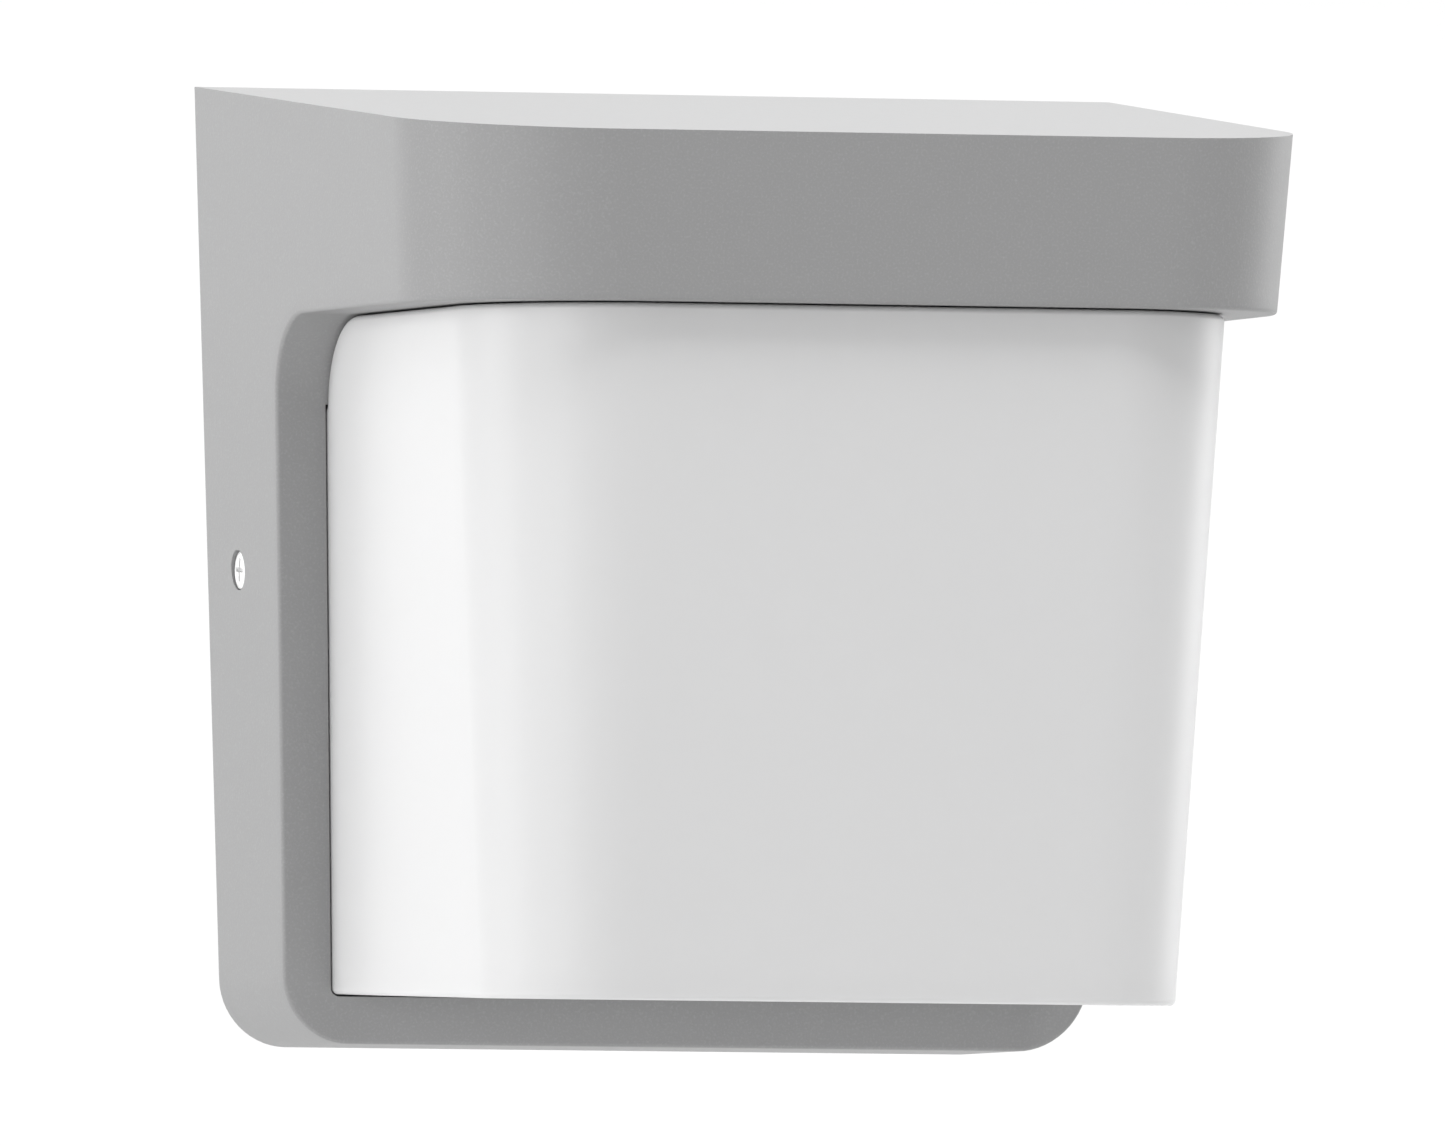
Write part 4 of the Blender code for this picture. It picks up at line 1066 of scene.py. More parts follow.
    def window(self, offset: float) -> np.ndarray:
        """Left half of the window's outline at an offset from the frame face.

        The stations of the frame map on it: bottom to bottom, corner to corner, side to side.

        Args:
            offset: Distance in front of the frame face.

        Returns:
            Array of shape (m, 3) as (x, depth, z), one point for each station up to the cove.
        """
        counts, gap, edge = self.counts, self.shadow_gap, 0.0018
        bottom, top = 0.0136 - gap, 0.1355 + gap
        share = np.linspace(0.0, 1.0, counts["bottom"] + 1)
        angle = np.linspace(0.0, 0.5 * math.pi, counts["low"] + 1)[1:]
        height = np.linspace(bottom + edge, top, counts["side"] + 1)[1:]
        z = np.concatenate((np.full_like(share, bottom), bottom + edge * (1.0 - np.cos(angle)), height))
        half = 0.0770 + 0.0556 * (z - 0.0136) + gap
        rounding = edge * (1.0 - np.sin(angle))
        narrowing = np.concatenate((np.full_like(share, edge), rounding, np.zeros_like(height)))
        stretch = np.concatenate((share, np.ones_like(angle), np.ones_like(height)))
        return np.stack((-stretch * (half - narrowing), self.frame_face(z) + offset, z), axis=1)

    def _wall_rows(self, shape: Dict[str, np.ndarray], first: float, steps: int) -> List[np.ndarray]:
        """Rows of the outer wall from the rounding's end to the far edge."""
        near = shape["edge"] + shape["along"] * first
        return [near + (shape["far"] - near) * share for share in np.linspace(0.0, 1.0, steps + 1)]

    def _rounding_rows(self, shape: Dict[str, np.ndarray], steps: int = 6) -> List[np.ndarray]:
        """Quarter circle from the cut face to the outer wall, touching both."""
        radius = self.edge_round
        centre = shape["edge"] + radius * (shape["along"] + shape["into"])
        angles = np.linspace(0.5 * math.pi, 0.0, steps + 1)
        return [centre - radius * (math.cos(a) * shape["into"] + math.sin(a) * shape["along"]) for a in angles]

    def _skin(self, work: Patchwork, inset: float) -> Tuple[np.ndarray, np.ndarray]:
        """One skin of the casting: wall, edge rounding, cut face with its window, and top.

        Args:
            work: The patchwork to add to.
            inset: 0 for the outer skin, the wall's thickness for the inner one.

        Returns:
            Numbers of the far row and of the window row.
        """
        shape, marks = self.stations(inset), self.marks()
        rows = [] if inset else self._rounding_rows(shape)[:-1]
        near = 0.0 if inset else self.edge_round
        rows += [shape["edge"] + shape["along"] * near]
        rows += self._wall_rows(shape, 0.0030, 8)
        numbered = work.grid([self.whole(row) for row in rows], closed=True)
        cut, far = numbered[0], numbered[-1]
        total = len(cut)
        for row, first in ((cut, marks["side"]), (far, marks["cove"])):
            left = np.arange(first, marks["corner"] + 1)
            front = np.arange(marks["corner"] + 1, total - marks["corner"])
            work.ladder(row[left], row[total - left], row[front])
        outline = self.window(-inset)
        loop = np.concatenate((mirrored(outline[1:][::-1]), outline))
        hole = work.row(to_world(loop))
        reach = marks["side"]
        rim = np.concatenate((cut[total - np.arange(reach, 0, -1)], cut[: reach + 1]))
        work.strip(rim, hole)
        work.polygon((rim[0], rim[-1], hole[-1], hole[0]))
        back = np.concatenate((far[total - np.arange(marks["cove"], 0, -1)], far[: marks["cove"] + 1]))
        return back, hole

    def build(self) -> bpy.types.Object:
        """Casting with both skins, its rear rim, its window and the two screw recesses.

        Returns:
            The new object.
        """
        work = Patchwork()
        outer_back, outer_hole = self._skin(work, 0.0)
        inner_back, inner_hole = self._skin(work, self.wall)
        work.strip(outer_back, inner_back, closed=True)
        work.strip(outer_hole, inner_hole, closed=True)
        item = work.build("housing_shell")
        for side in (-1.0, 1.0):
            self._sink(item, side)
        return soften(item, 0.0004, 3, 50.0)

    def _sink(self, item: bpy.types.Object, side: float) -> None:
        """Cut the lock screw's recess through one side wall.

        Args:
            item: The casting.
            side: -1 for the left, 1 for the right.
        """
        foot = to_world(np.array([[side * 0.0885, self.lock_depth, self.lock_height]]))[0]
        radius = self.recess_radius
        profile = np.array(((0.0, 0.0), (radius, 0.0), (radius, 0.014), (0.0, 0.014)))
        cutter = turned("recess_cutter", profile, tuple(foot), (side, 0.0, 0.0), 48)
        cut = item.modifiers.new("recess", "BOOLEAN")
        cut.solver = "EXACT"
        cut.operation = "DIFFERENCE"
        cut.object = cutter
        bpy.context.view_layer.update()
        graph = bpy.context.evaluated_depsgraph_get()
        mesh = bpy.data.meshes.new_from_object(item.evaluated_get(graph))
        item.modifiers.clear()
        item.data = mesh
        bpy.data.objects.remove(cutter, do_unlink=True)

    def bosses(self) -> List[bpy.types.Object]:
        """Bored bosses behind the two recesses.

        Returns:
            The two rings.
        """
        made = []
        for side, word in ((-1.0, "left"), (1.0, "right")):
            foot = to_world(np.array([[side * 0.0845, self.lock_depth, self.lock_height]]))[0]
            corners = [(0.0023, 0.0, 0.0), (0.0060, 0.0, 0.0006), (0.0060, 0.0075, 0.0)]
            corners += [(0.0042, 0.0075, 0.0), (0.0042, 0.0049, 0.0), (0.0023, 0.0049, 0.0)]
            profile = rounded_profile(corners)
            made.append(turned(f"screw_boss_{word}", profile, tuple(foot), (side, 0.0, 0.0), 48, ring=True))
        return made

    def posts(self) -> List[bpy.types.Object]:
        """Tapped posts behind the frame that take the clip screws.

        Returns:
            The four posts.
        """
        made = []
        normal = unit(np.array((0.0, -1.0, -self.frame_lean)))
        for row, height in (("lower", 0.060), ("upper", 0.120)):
            for side, word in ((-1.0, "left"), (1.0, "right")):
                x = float(self.half_width(np.array(0.034), np.array(height))) - self.wall - 0.00255
                foot = to_world(np.array([[side * x, self.frame_face(height) - 0.0071, height]]))[0]
                corners = [(0.00145, 0.0, 0.0), (0.0027, 0.0, 0.0003), (0.0027, 0.0051, 0.0)]
                corners += [(0.0004, 0.0051, 0.0), (0.00145, 0.0038, 0.0)]
                profile = rounded_profile(corners)
                made.append(turned(f"clip_post_{row}_{word}", profile, tuple(foot), tuple(normal), 32, ring=True))
        return made

    def assemble(self) -> None:
        """Build and dress the casting and what belongs to it."""
        settle(self.build(), Body.HOUSING, POWDER_COAT, "grey_powder_coat", "housing_casting")
        for piece in self.bosses() + self.posts():
            settle(piece, Body.HOUSING, POWDER_COAT, "grey_powder_coat")
        dress("wall_seal", RUBBER)


# ------------------------------------------------------------------ diffuser


@dataclass
class Diffuser:
    """Opal box whose rear end goes through the frame's window to a flange."""

    housing: Housing
    half: float = 0.0770
    side_draft: float = 0.0556
    plan_taper: float = 0.027
    bottom_z: float = 0.0136
    bottom_slope: float = 0.058
    depth: float = 0.1548
    corner: float = 0.024
    corner_growth: float = 0.05
    edge: float = 0.0012
    wall: float = 0.0025
    spigot_top: float = 0.1355
    flange_back: float = -0.0071
    flange_front: float = -0.0051
    flange_width: float = 0.0025

    def half_width(self, depth: np.ndarray, z: np.ndarray) -> np.ndarray:
        """Half width: widens with height and narrows in front of the frame."""
        reach = np.maximum(depth - self.housing.frame_face(z), 0.0)
        return self.half + self.side_draft * (z - self.bottom_z) - self.plan_taper * reach

    def top(self, depth: np.ndarray, inset: float) -> np.ndarray:
        """Height of the top: an arc round the cove's centre, then a line just under the hood."""
        centre_depth, centre_z = self.housing.cove_centre()
        radius = self.housing.cove_radius - self.housing.shadow_gap - inset
        away = np.clip(centre_depth - depth, 0.0, radius)
        arc = centre_z + np.sqrt(radius**2 - away**2)
        lift = (self.housing.shadow_gap + inset) * math.hypot(1.0, self.housing.underside_slope)
        line = self.housing.underside(depth) - lift
        body = np.where(depth < centre_depth, arc, line)
        face = self.housing.frame_face(self.spigot_top)
        return np.where(depth < face, self.spigot_top - inset, body)

    def bottom(self, depth: np.ndarray, inset: float) -> np.ndarray:
        """Height of the bottom, which rises in front of the frame."""
        return self.bottom_z + self.bottom_slope * np.maximum(depth - self.housing.frame_depth, 0.0) + inset

    def _depths(self, inset: float) -> np.ndarray:
        """Depths of the side stations at the spigot's top height, close together on the arc."""
        face = float(self.housing.frame_face(self.spigot_top))
        centre_depth = self.housing.cove_centre()[0]
        radius = self.housing.cove_radius - self.housing.shadow_gap - inset
        spigot = face + np.array((self.flange_back, self.flange_front, -0.0006))
        first = max(face + self.housing.shadow_gap, centre_depth - radius)
        angle = np.linspace(math.asin(min((centre_depth - first) / radius, 1.0)), 0.0, 14)
        arc = centre_depth - radius * np.sin(angle)
        reach = self.depth - self.corner - 0.009 - centre_depth
        straight = centre_depth + reach * np.linspace(0.0, 1.0, 8)[1:]
        return np.concatenate((spigot, arc, straight))

    def _column(self, z: np.ndarray, depths: np.ndarray, draw_in: np.ndarray, inset: float) -> np.ndarray:
        """One row of points over all stations: side, rounded corner and front.

        Args:
            z: Height at each station.
            depths: Depths of the side stations.
            draw_in: How far the row lies inside the wall's face at each station.
            inset: Distance inside the outer skin.

        Returns:
            Array of shape (n, 3) as (x, depth, z).
        """
        side = len(depths)
        face = self.housing.frame_face(self.spigot_top)
        weight = np.clip(1.0 - (depths - face) / 0.020, 0.0, 1.0)
        reach = depths + self.housing.frame_lean * (z[:side] - self.spigot_top) * weight
        total = inset + draw_in
        side_x = self.half_width(reach, z[:side]) - total[:side]
        angle = np.linspace(0.0, 0.5 * math.pi, 31)[1:]
        zc = z[side : side + 30]
        radius = self.corner + self.corner_growth * zc - total[side : side + 30]
        corner_depth = self.depth - total[side : side + 30] - radius + radius * np.sin(angle)
        corner_x = self.half_width(corner_depth, zc) - total[side : side + 30] - radius * (1.0 - np.cos(angle))
        share = np.linspace(1.0, 0.0, 11)[1:]
        zf = z[side + 30 :]
        front_depth = self.depth - total[side + 30 :]
        front_radius = self.corner + self.corner_growth * zf - total[side + 30 :]
        front_x = share * (self.half_width(front_depth, zf) - total[side + 30 :] - front_radius)
        x = np.concatenate((side_x, corner_x, front_x))
        depth = np.concatenate((reach, corner_depth, front_depth))
        return np.stack((-x, depth, z), axis=1)

    def _plan_depth(self, depths: np.ndarray) -> np.ndarray:
        """Rough depth of each station, used to find the heights of the bottom and the top."""
        radius = self.corner + self.corner_growth * 0.09
        angle = np.linspace(0.0, 0.5 * math.pi, 31)[1:]
        corner_depth = self.depth - radius + radius * np.sin(angle)
        return np.concatenate((depths, corner_depth, np.full(10, self.depth)))

    def rows(self, inset: float, rounding: float) -> List[np.ndarray]:
        """Rows from the bottom's rim, round its edge, up the wall and round the top's edge.

        Args:
            inset: 0 for the outer skin, the wall's thickness for the inner one.
            rounding: Radius of the bottom and top edges.

        Returns:
            Arrays of shape (n, 3) as (x, depth, z).
        """
        depths = self._depths(inset)
        plan = self._plan_depth(depths)
        made = []
        angles = np.linspace(0.0, 0.5 * math.pi, 7)
        guess = self._column(np.full(len(plan), 0.03), depths, np.zeros(len(plan)), inset)[:, 1]
        low = self.bottom(np.maximum(guess, 0.0), inset)
        guess = self._column(np.full(len(plan), 0.155), depths, np.zeros(len(plan)), inset)[:, 1]
        guess[: len(depths)] = depths
        high = self.top(guess, inset)
        flat = np.ones(len(plan))
        made.append(self._column(low, depths, flat * (rounding + 0.002), inset))
        for a in angles:
            draw_in, lift = rounding * (1.0 - math.sin(a)), rounding * (1.0 - math.cos(a))
            made.append(self._column(low + lift, depths, flat * draw_in, inset))
        for share in np.linspace(0.0, 1.0, 25)[1:-1]:
            z = low + rounding + (high - low - 2.0 * rounding) * share
            made.append(self._column(z, depths, 0.0 * flat, inset))
        for a in angles[::-1]:
            draw_in, drop = rounding * (1.0 - math.sin(a)), rounding * (1.0 - math.cos(a))
            made.append(self._column(high - drop, depths, flat * draw_in, inset))
        made.append(self._column(high, depths, flat * (rounding + 0.002), inset))
        return made

    def build(self) -> bpy.types.Object:
        """Outer and inner skins, their bottoms and tops, and the rim at the rear end.

        Returns:
            The new object.
        """
        work = Patchwork()
        ends = []
        for inset, rounding in ((0.0, self.edge), (self.wall, 0.0006)):
            halves = self.rows(inset, rounding)
            rows = [to_world(np.concatenate((row, mirrored(row[:-1][::-1])))) for row in halves]
            numbered = work.grid(rows)
            side = len(self._depths(inset)) + 30
            for row in (numbered[0], numbered[-1]):
                left = np.arange(side)
                front = np.arange(side, len(row) - side)
                work.ladder(row[left], row[len(row) - 1 - left], row[front])
            ends.append(np.concatenate(([row[0] for row in numbered], [row[-1] for row in numbered[::-1]])))
        work.strip(ends[0], ends[1], closed=True)
        return work.build("diffuser_shell")

    def flange(self) -> bpy.types.Object:
        """Flat rim round the rear end: a small rectangle carried round the spigot's outline.

        Returns:
            The new object.
        """
        rows = []
        for grow, offset in (
            (-0.0002, self.flange_front),
            (self.flange_width, self.flange_front),
            (self.flange_width, self.flange_back),
            (-0.0002, self.flange_back),
        ):
            edge = self.edge + max(grow, 0.0)
            angle = np.linspace(0.0, 0.5 * math.pi, 7)
            low, high = self.bottom_z - grow, self.spigot_top + grow
            z = np.concatenate((low + edge * (1 - np.cos(angle)), high - edge * (1 - np.sin(angle))))
            narrowing = np.concatenate((edge * (1 - np.sin(angle)), edge * (1 - np.cos(angle))))
            half = self.half + self.side_draft * (z - self.bottom_z) + grow - narrowing
            left = np.stack((-half, self.housing.frame_face(z) + offset, z), axis=1)
            rows.append(to_world(np.concatenate((left, mirrored(left[::-1])))))
        work = Patchwork()
        numbered = work.grid(rows, closed=True)
        work.strip(numbered[-1], numbered[0], closed=True)
        return soften(work.build("diffuser_flange"), 0.0003, 2)

    def assemble(self) -> None:
        """Build and dress the diffuser, its flange, gasket, clips and clip screws."""
        settle(self.build(), Body.HOUSING, OPAL, "opal_plastic", "opal_diffuser")
        settle(self.flange(), Body.HOUSING, OPAL, "opal_plastic")
        dress("diffuser_gasket", RUBBER)
        for row in ("lower", "upper"):
            for side in ("left", "right"):
                dress(f"diffuser_clip_{row}_{side}", ZINC)
                dress(f"clip_screw_{row}_{side}", STAINLESS)


# ------------------------------------------------------------------ lamp and holder


@dataclass
class Lamp:
    """Screw-in globe lamp on the housing's axis."""

    height: float = -0.012
    tip: float = 0.0175
    root_radius: float = 0.01225
    thread_rise: float = 0.00085
    pitch: float = 0.003629
    turns: int = 4
    globe_radius: float = 0.0225

    def foot(self) -> Point:
        """Point on the wall behind the lamp's axis."""
        return (0.0, 0.0, self.height)

    def cap(self) -> bpy.types.Object:
        """Threaded cap: the radius swells by a cosine that climbs one pitch a turn.

        Returns:
            The new object.
        """
        start = self.tip + 0.0055
        first, last = start + 0.0016, start + 0.0016 + self.turns * self.pitch + 0.0010
        rim = last + 0.0020
        body = np.linspace(first, last, 120)
        profile = [(0.0, start), (0.0098, start), (0.0112, start + 0.0005)]
        profile += [(self.root_radius - 0.0002, start + 0.0012)]
        sleeve = [(self.root_radius, height) for height in body]
        end = [(self.root_radius, rim - 0.0008), (0.01300, rim), (0.01312, rim + 0.0008)]
        end += [(0.01305, rim + 0.0015), (0.0, rim + 0.0015)]

        def thread(angle: np.ndarray, height: np.ndarray) -> np.ndarray:
            """Rounded ridge with its crest where the height matches the angle's share of a pitch."""
            phase = TURN * (height - first) / self.pitch - angle
            ridge = (0.5 + 0.5 * np.cos(phase)) ** 1.3
            fade = np.clip((height - first) / 0.0012, 0.0, 1.0) * np.clip((last - height) / 0.0012, 0.0, 1.0)
            return self.thread_rise * ridge * fade

        outline = np.array(profile + sleeve + end)
        return turned("lamp_thread", outline, self.foot(), (0.0, -1.0, 0.0), 72, waviness=thread)

    def skirt(self) -> bpy.types.Object:
        """Plastic skirt that opens from the cap to the globe in an S-curve.

        Returns:
            The new object.
        """
        foot = self.tip + 0.0055 + 0.0016 + self.turns * self.pitch + 0.0030 + 0.0015 + 0.0003
        share = np.linspace(0.0, 1.0, 40)
        swell = share**1.35 * (1.0 - share) + share * np.sin(0.5 * math.pi * share)
        radius = 0.0129 + (0.02138 - 0.0129) * swell
        points = np.column_stack((radius, foot + 0.0004 + 0.0174 * share))
        ends = (np.array(((0.0, foot), (0.0122, foot))), np.array(((0.0212, foot + 0.018), (0.0, foot + 0.018))))
        outline = np.concatenate((ends[0], points, ends[1]))
        return turned("lamp_skirt_shell", outline, self.foot(), (0.0, -1.0, 0.0), 72)

    def globe(self) -> bpy.types.Object:
        """Globe: a sphere cut off where it meets the skirt.

        Returns:
            The new object.
        """
        foot = self.tip + 0.0055 + 0.0016 + self.turns * self.pitch + 0.0030 + 0.0015 + 0.0003 + 0.018 + 0.0003
        first = math.acos(0.0214 / self.globe_radius)
        centre = foot + self.globe_radius * math.sin(first)
        angle = np.linspace(-first, 0.5 * math.pi, 40)
        radius = np.append(self.globe_radius * np.cos(angle[:-1]), 0.0)
        points = np.column_stack((radius, centre + self.globe_radius * np.sin(angle)))
        profile = np.concatenate((np.array(((0.0, foot),)), points))
        return turned("lamp_globe_shell", profile, self.foot(), (0.0, -1.0, 0.0), 72)

    def assemble(self) -> None:
        """Build and dress the lamp."""
        settle(self.cap(), Body.LAMP, NICKEL, "nickel_plate", "lamp_cap")
        settle(soften(self.skirt(), 0.0003, 2, 50.0), Body.LAMP, WHITE_PLASTIC, "white_plastic", "lamp_skirt")
        settle(self.globe(), Body.LAMP, LAMP_OPAL, "lamp_opal", "lamp_globe")
        dress("lamp_centre_contact", NICKEL)
        dress("lamp_insulator", BLACK_GLASS)


@dataclass
class LampHolder:
    """Porcelain holder with a rolled brass shell."""

    height: float = -0.012
    inner_radius: float = 0.0138
    low: float = 0.0165
    high: float = 0.0400
    pitch: float = 0.003629

    def shell(self) -> bpy.types.Object:
        """Rolled shell: a thin tube whose wall follows the lamp's thread.

        Returns:
            The new object.
        """
        inner = np.linspace(self.low, self.high, 110)
        radius = np.full(len(inner), self.inner_radius + 0.00012)
        outside = np.column_stack((radius + 0.00035, inner))[::-1]
        profile = np.concatenate((np.column_stack((radius, inner)), outside))

        def thread(angle: np.ndarray, height: np.ndarray) -> np.ndarray:
            """Groove that climbs one pitch a turn."""
            ridge = 0.5 + 0.5 * np.cos(TURN * height / self.pitch - angle)
            rise = np.clip((height - self.low) / 0.002, 0.0, 1.0)
            fade = rise * np.clip((self.high - height) / 0.002, 0.0, 1.0)
            return 0.0003 * ridge * fade

        foot = (0.0, 0.0, self.height)
        return turned("holder_shell_rolled", profile, foot, (0.0, -1.0, 0.0), 64, ring=True, waviness=thread)

    def assemble(self) -> None:
        """Build and dress the holder."""
        settle(self.shell(), Body.WALL_SIDE, BRASS, "brass", "lamp_holder_shell")
        dress("lamp_holder_body", PORCELAIN)
        dress("lamp_holder_contact", BRASS)
        dress("holder_screw_left", STAINLESS)
        dress("holder_screw_right", STAINLESS)


# ------------------------------------------------------------------ wall side


@dataclass(frozen=True)
class Lead:
    """One insulated lead: a round tube along a smooth route."""

    node: str
    anchors: Tuple[Point, ...]
    radius: float = 0.0010

    def route(self) -> np.ndarray:
        """Smooth route through the anchors: a cubic between each pair, with shared slopes.

        Returns:
            Array of shape (n, 3) in world coordinates.
        """
        sites = np.array(self.anchors, float)
        ends = np.concatenate((2 * sites[:1] - sites[1:2], sites, 2 * sites[-1:] - sites[-2:-1]))
        share = np.linspace(0.0, 1.0, 14, endpoint=False)[:, None]
        parts = []
        for a, b, c, d in zip(ends, ends[1:], ends[2:], ends[3:]):
            cubic = 2 * b + (c - a) * share + (2 * a - 5 * b + 4 * c - d) * share**2
            parts.append(0.5 * (cubic + (3 * b - a - 3 * c + d) * share**3))
        path = np.concatenate(parts + [sites[-1:]])
        path[:, 2] -= ORIGIN_HEIGHT
        return path

    def build(self) -> bpy.types.Object:
        """Tube round the route, with a UV map: length along it, then the share of a turn.

        Returns:
            The new object.
        """
        path = self.route()
        tangent = unit(np.gradient(path, axis=0))
        across = unit(np.cross(tangent, np.array((0.0, 1.0, 0.0)) + 0.0 * tangent))
        other = np.cross(tangent, across)
        angle = np.linspace(0.0, TURN, 20, endpoint=False)
        ring = np.cos(angle)[None, :, None] * across[:, None] + np.sin(angle)[None, :, None] * other[:, None]
        points = path[:, None] + self.radius * ring
        work = Patchwork()
        numbered = work.grid(list(points), closed=True)
        work.polygon(numbered[0])
        work.polygon(numbered[-1])
        item = work.build(f"{self.node}_sleeve")
        self._lay_out(item, path, across, other)
        return item

    @staticmethod
    def _lay_out(item: bpy.types.Object, path: np.ndarray, across: np.ndarray, other: np.ndarray) -> None:
        """Write the UV map from the nearest route point and the angle round it."""
        mesh = item.data
        where = np.empty(len(mesh.vertices) * 3)
        mesh.vertices.foreach_get("co", where)
        where = where.reshape(-1, 3)
        nearest = np.argmin(((where[:, None] - path[None]) ** 2).sum(-1), axis=1)
        away = where - path[nearest]
        turn = np.arctan2((away * other[nearest]).sum(-1), (away * across[nearest]).sum(-1)) / TURN
        length = np.concatenate(([0.0], np.cumsum(np.linalg.norm(np.diff(path, axis=0), axis=1))))
        corner = np.empty(len(mesh.loops), int)
        mesh.loops.foreach_get("vertex_index", corner)
        layer = mesh.uv_layers.new(name="sleeve")
        values = np.column_stack((length[nearest][corner], turn[corner]))
        layer.data.foreach_set("uv", values.ravel())


@dataclass
class WallSide:
    """Everything that stays on the wall: bracket, terminals, earth point and leads."""

    poles: Tuple[str, ...] = ("live", "neutral", "earth")

    def leads(self) -> List[Tuple[Lead, object, str]]:
        """The three leads with their finishes and slots.

        Returns:
            (lead, finish, slot) of each.
        """
        top, foot, y = 0.0545, 0.0685, -0.0085
        live = ((-0.010, y, top - 0.0035), (-0.010, y, top + 0.0015), (-0.0108, y - 0.0020, top + 0.0060))
        live += ((-0.0090, y, foot - 0.0008), (-0.0090, y, foot + 0.0042))
        neutral = ((0.0, y, top - 0.0035), (0.0, y, top + 0.0012), (0.0040, y - 0.0030, top + 0.0062))
        neutral += ((0.0090, y, foot - 0.0008), (0.0090, y, foot + 0.0042))
        earth = ((0.010, y, top - 0.0035), (0.010, y, top + 0.0010), (0.0150, y - 0.0010, top + 0.0065))
        earth += ((0.0235, y + 0.0005, 0.0690), (0.0325, y + 0.0010, 0.0800), (0.0335, y + 0.0020, 0.0960))
        earth += ((0.0315, -0.0055, 0.1120), (0.0296, -0.0040, 0.1220), (0.0293, -0.0037, 0.1290))
        return [
            (Lead("live_lead", live), BROWN_SLEEVE, "brown_sleeve"),
            (Lead("neutral_lead", neutral), BLUE_SLEEVE, "blue_sleeve"),
            (Lead("earth_lead", earth), EARTH_SLEEVE, "green_yellow_sleeve"),
        ]

    def assemble(self) -> None:
        """Build the leads and dress the nodes of the wall side."""
        for lead, finish, slot in self.leads():
            settle(lead.build(), Body.WALL_SIDE, finish, slot, lead.node)
        dress("wall_bracket", ZINC)
        dress("cable_grommet", RUBBER)
        dress("terminal_block", WHITE_PLASTIC)
        for pole in self.poles:
            for end in ("mains", "lamp"):
                dress(f"terminal_screw_{pole}_{end}", BRASS)
        dress("block_screw_left", STAINLESS)
        dress("block_screw_right", STAINLESS)
        dress("earth_screw", STAINLESS)
        dress("earth_washer", ZINC)
        dress("earth_lug", BRASS)


@dataclass
class LockScrews:
    """The two screws in the sides that hold the housing on the bracket."""

    def assemble(self) -> None:
        """Dress the screws and their washers."""
        for side in ("left", "right"):
            dress(f"lock_screw_{side}", LOCK_HEAD)
            dress(f"lock_washer_{side}", NYLON)


# ------------------------------------------------------------------ studio


@dataclass(frozen=True)
class Softbox:
    """One square area light aimed at the lantern."""

    name: str
    place: Point
    size: float
    power: float
    aim: Point = (0.0, -0.08, 0.0)

    def build(self) -> None:
        """Put the light in the scene."""
        data = bpy.data.lights.new(self.name, "AREA")
        data.shape = "SQUARE"
        data.size = self.size
        data.energy = self.power
        item = bpy.data.objects.new(self.name, data)
        item.visible_camera = False
        bpy.context.scene.collection.objects.link(item)
        away = np.array(self.aim) - np.array(self.place)
        item.location = self.place
        item.rotation_euler = _aimed(away).to_euler()


def _aimed(direction: np.ndarray) -> Quaternion:
    """Rotation that turns -Z along a direction."""
    return Vector(direction.tolist()).to_track_quat("-Z", "Y")


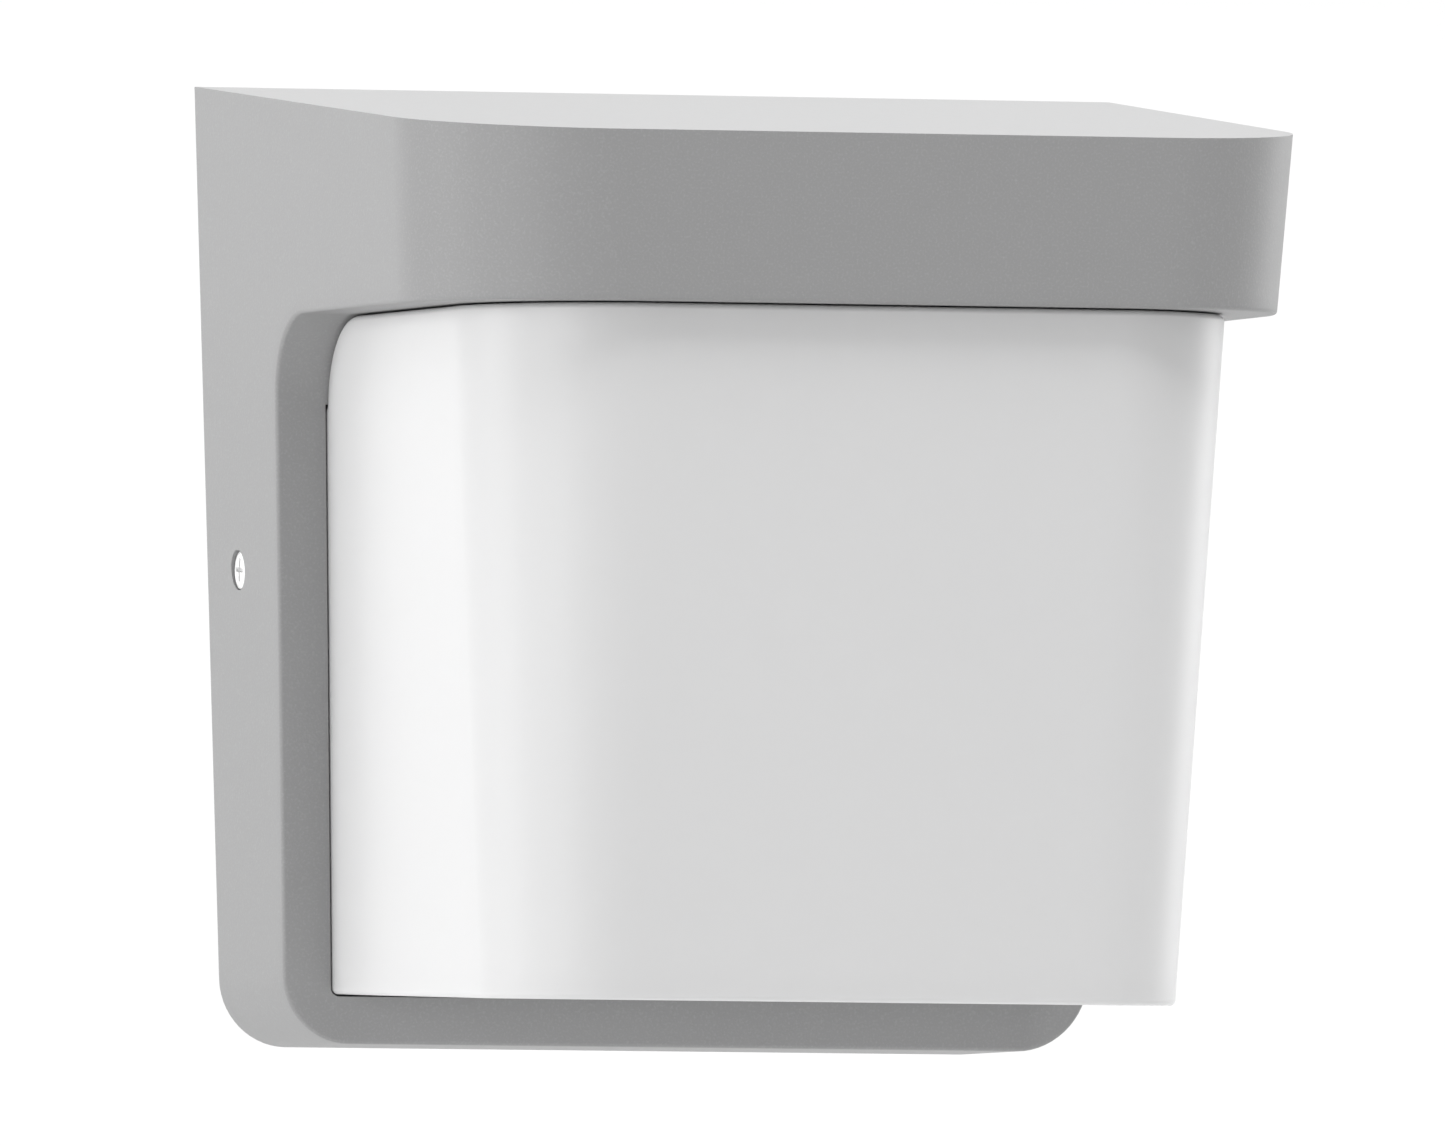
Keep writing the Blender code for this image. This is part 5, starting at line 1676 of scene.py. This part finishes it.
@dataclass
class Studio:
    """Pale floor, soft light and the camera."""

    floor_z: float = -0.30
    floor_size: float = 60.0
    lens: float = 1300.0
    sensor: float = 36.0
    yaw: float = 18.5
    tilt: float = 2.9369
    roll: float = 1.7809
    distance: float = 10.7811
    centre: Point = (0.0, -0.061, 0.0)
    drift: Tuple[float, float] = (0.0013973, 0.0031008)
    world_strength: float = 0.45
    floor_glow: float = 0.063
    lights: Tuple[Softbox, ...] = (
        Softbox("back_box", (2.7, 8.0, 3.6), 16.0, 1060.4, (2.7, 8.0, 0.0)),
        Softbox("steep_box", (0.2, -0.85, 2.6), 1.2, 65.6),
        Softbox("rear_left_box", (-1.1, 2.36, 0.3), 0.9, 6.8),
        Softbox("left_box", (-2.6, 0.3, 0.3), 1.3, 22.3),
        Softbox("corner_box", (-2.0, -1.6, 0.4), 1.0, 12.8),
        Softbox("rim_box", (2.2, 0.9, 0.4), 1.2, 14.3),
    )

    def floor(self) -> None:
        """Flat pale floor far below the lantern: one square of four points."""
        half = self.floor_size
        corners = np.array(((-half, -half), (half, -half), (half, half), (-half, half)))
        points = np.column_stack((corners, np.full(4, self.floor_z)))
        work = Patchwork()
        work.polygon(work.row(points))
        item = work.build("studio_floor")
        pale, paler = (0.60, 0.60, 0.60), (0.61, 0.61, 0.61)
        paper = Finish("studio_paper", pale, paler, roughness=0.9, grain_bump=0.0, glow=self.floor_glow)
        item.data.materials.append(paper.material())

    def sky(self) -> None:
        """Even pale surroundings."""
        world = bpy.data.worlds.new("studio")
        world.use_nodes = True
        background = world.node_tree.nodes["Background"]
        background.inputs["Color"].default_value = (1.0, 1.0, 1.0, 1.0)
        background.inputs["Strength"].default_value = self.world_strength
        bpy.context.scene.world = world

    def camera(self) -> None:
        """Far camera with a long lens, turned, tilted and rolled round the lantern's middle."""
        yaw, tilt, roll = (math.radians(v) for v in (self.yaw, self.tilt, self.roll))
        forward = np.array((math.sin(yaw) * math.cos(tilt), math.cos(yaw) * math.cos(tilt), -math.sin(tilt)))
        right = np.array((math.cos(yaw), -math.sin(yaw), 0.0))
        down = np.cross(forward, right)
        image_x = right * math.cos(roll) - down * math.sin(roll)
        image_y = right * math.sin(roll) + down * math.cos(roll)
        place = np.array(self.centre) - forward * self.distance
        place = place - image_x * self.drift[0] - image_y * self.drift[1]
        data = bpy.data.cameras.new("camera")
        data.lens = self.lens
        data.sensor_width = self.sensor
        data.clip_start = 0.1
        data.clip_end = 400.0
        item = bpy.data.objects.new("camera", data)
        bpy.context.scene.collection.objects.link(item)
        axes = np.column_stack((image_x, -image_y, -forward))
        item.matrix_world = Matrix.Translation(Vector(place.tolist())) @ Matrix(axes.tolist()).to_4x4()
        bpy.context.scene.camera = item

    def assemble(self) -> None:
        """Build floor, surroundings, lights and camera."""
        self.camera()
        self.floor()
        self.sky()
        for light in self.lights:
            light.build()
        bpy.context.scene.view_settings.view_transform = "Standard"


def main() -> None:
    """Build every sub-assembly in order."""
    logging.basicConfig(level=logging.INFO, format="%(message)s")
    Studio().assemble()
    housing = Housing()
    housing.assemble()
    Diffuser(housing).assemble()
    LockScrews().assemble()
    LampHolder().assemble()
    Lamp().assemble()
    WallSide().assemble()


if __name__ == "__main__":
    main()
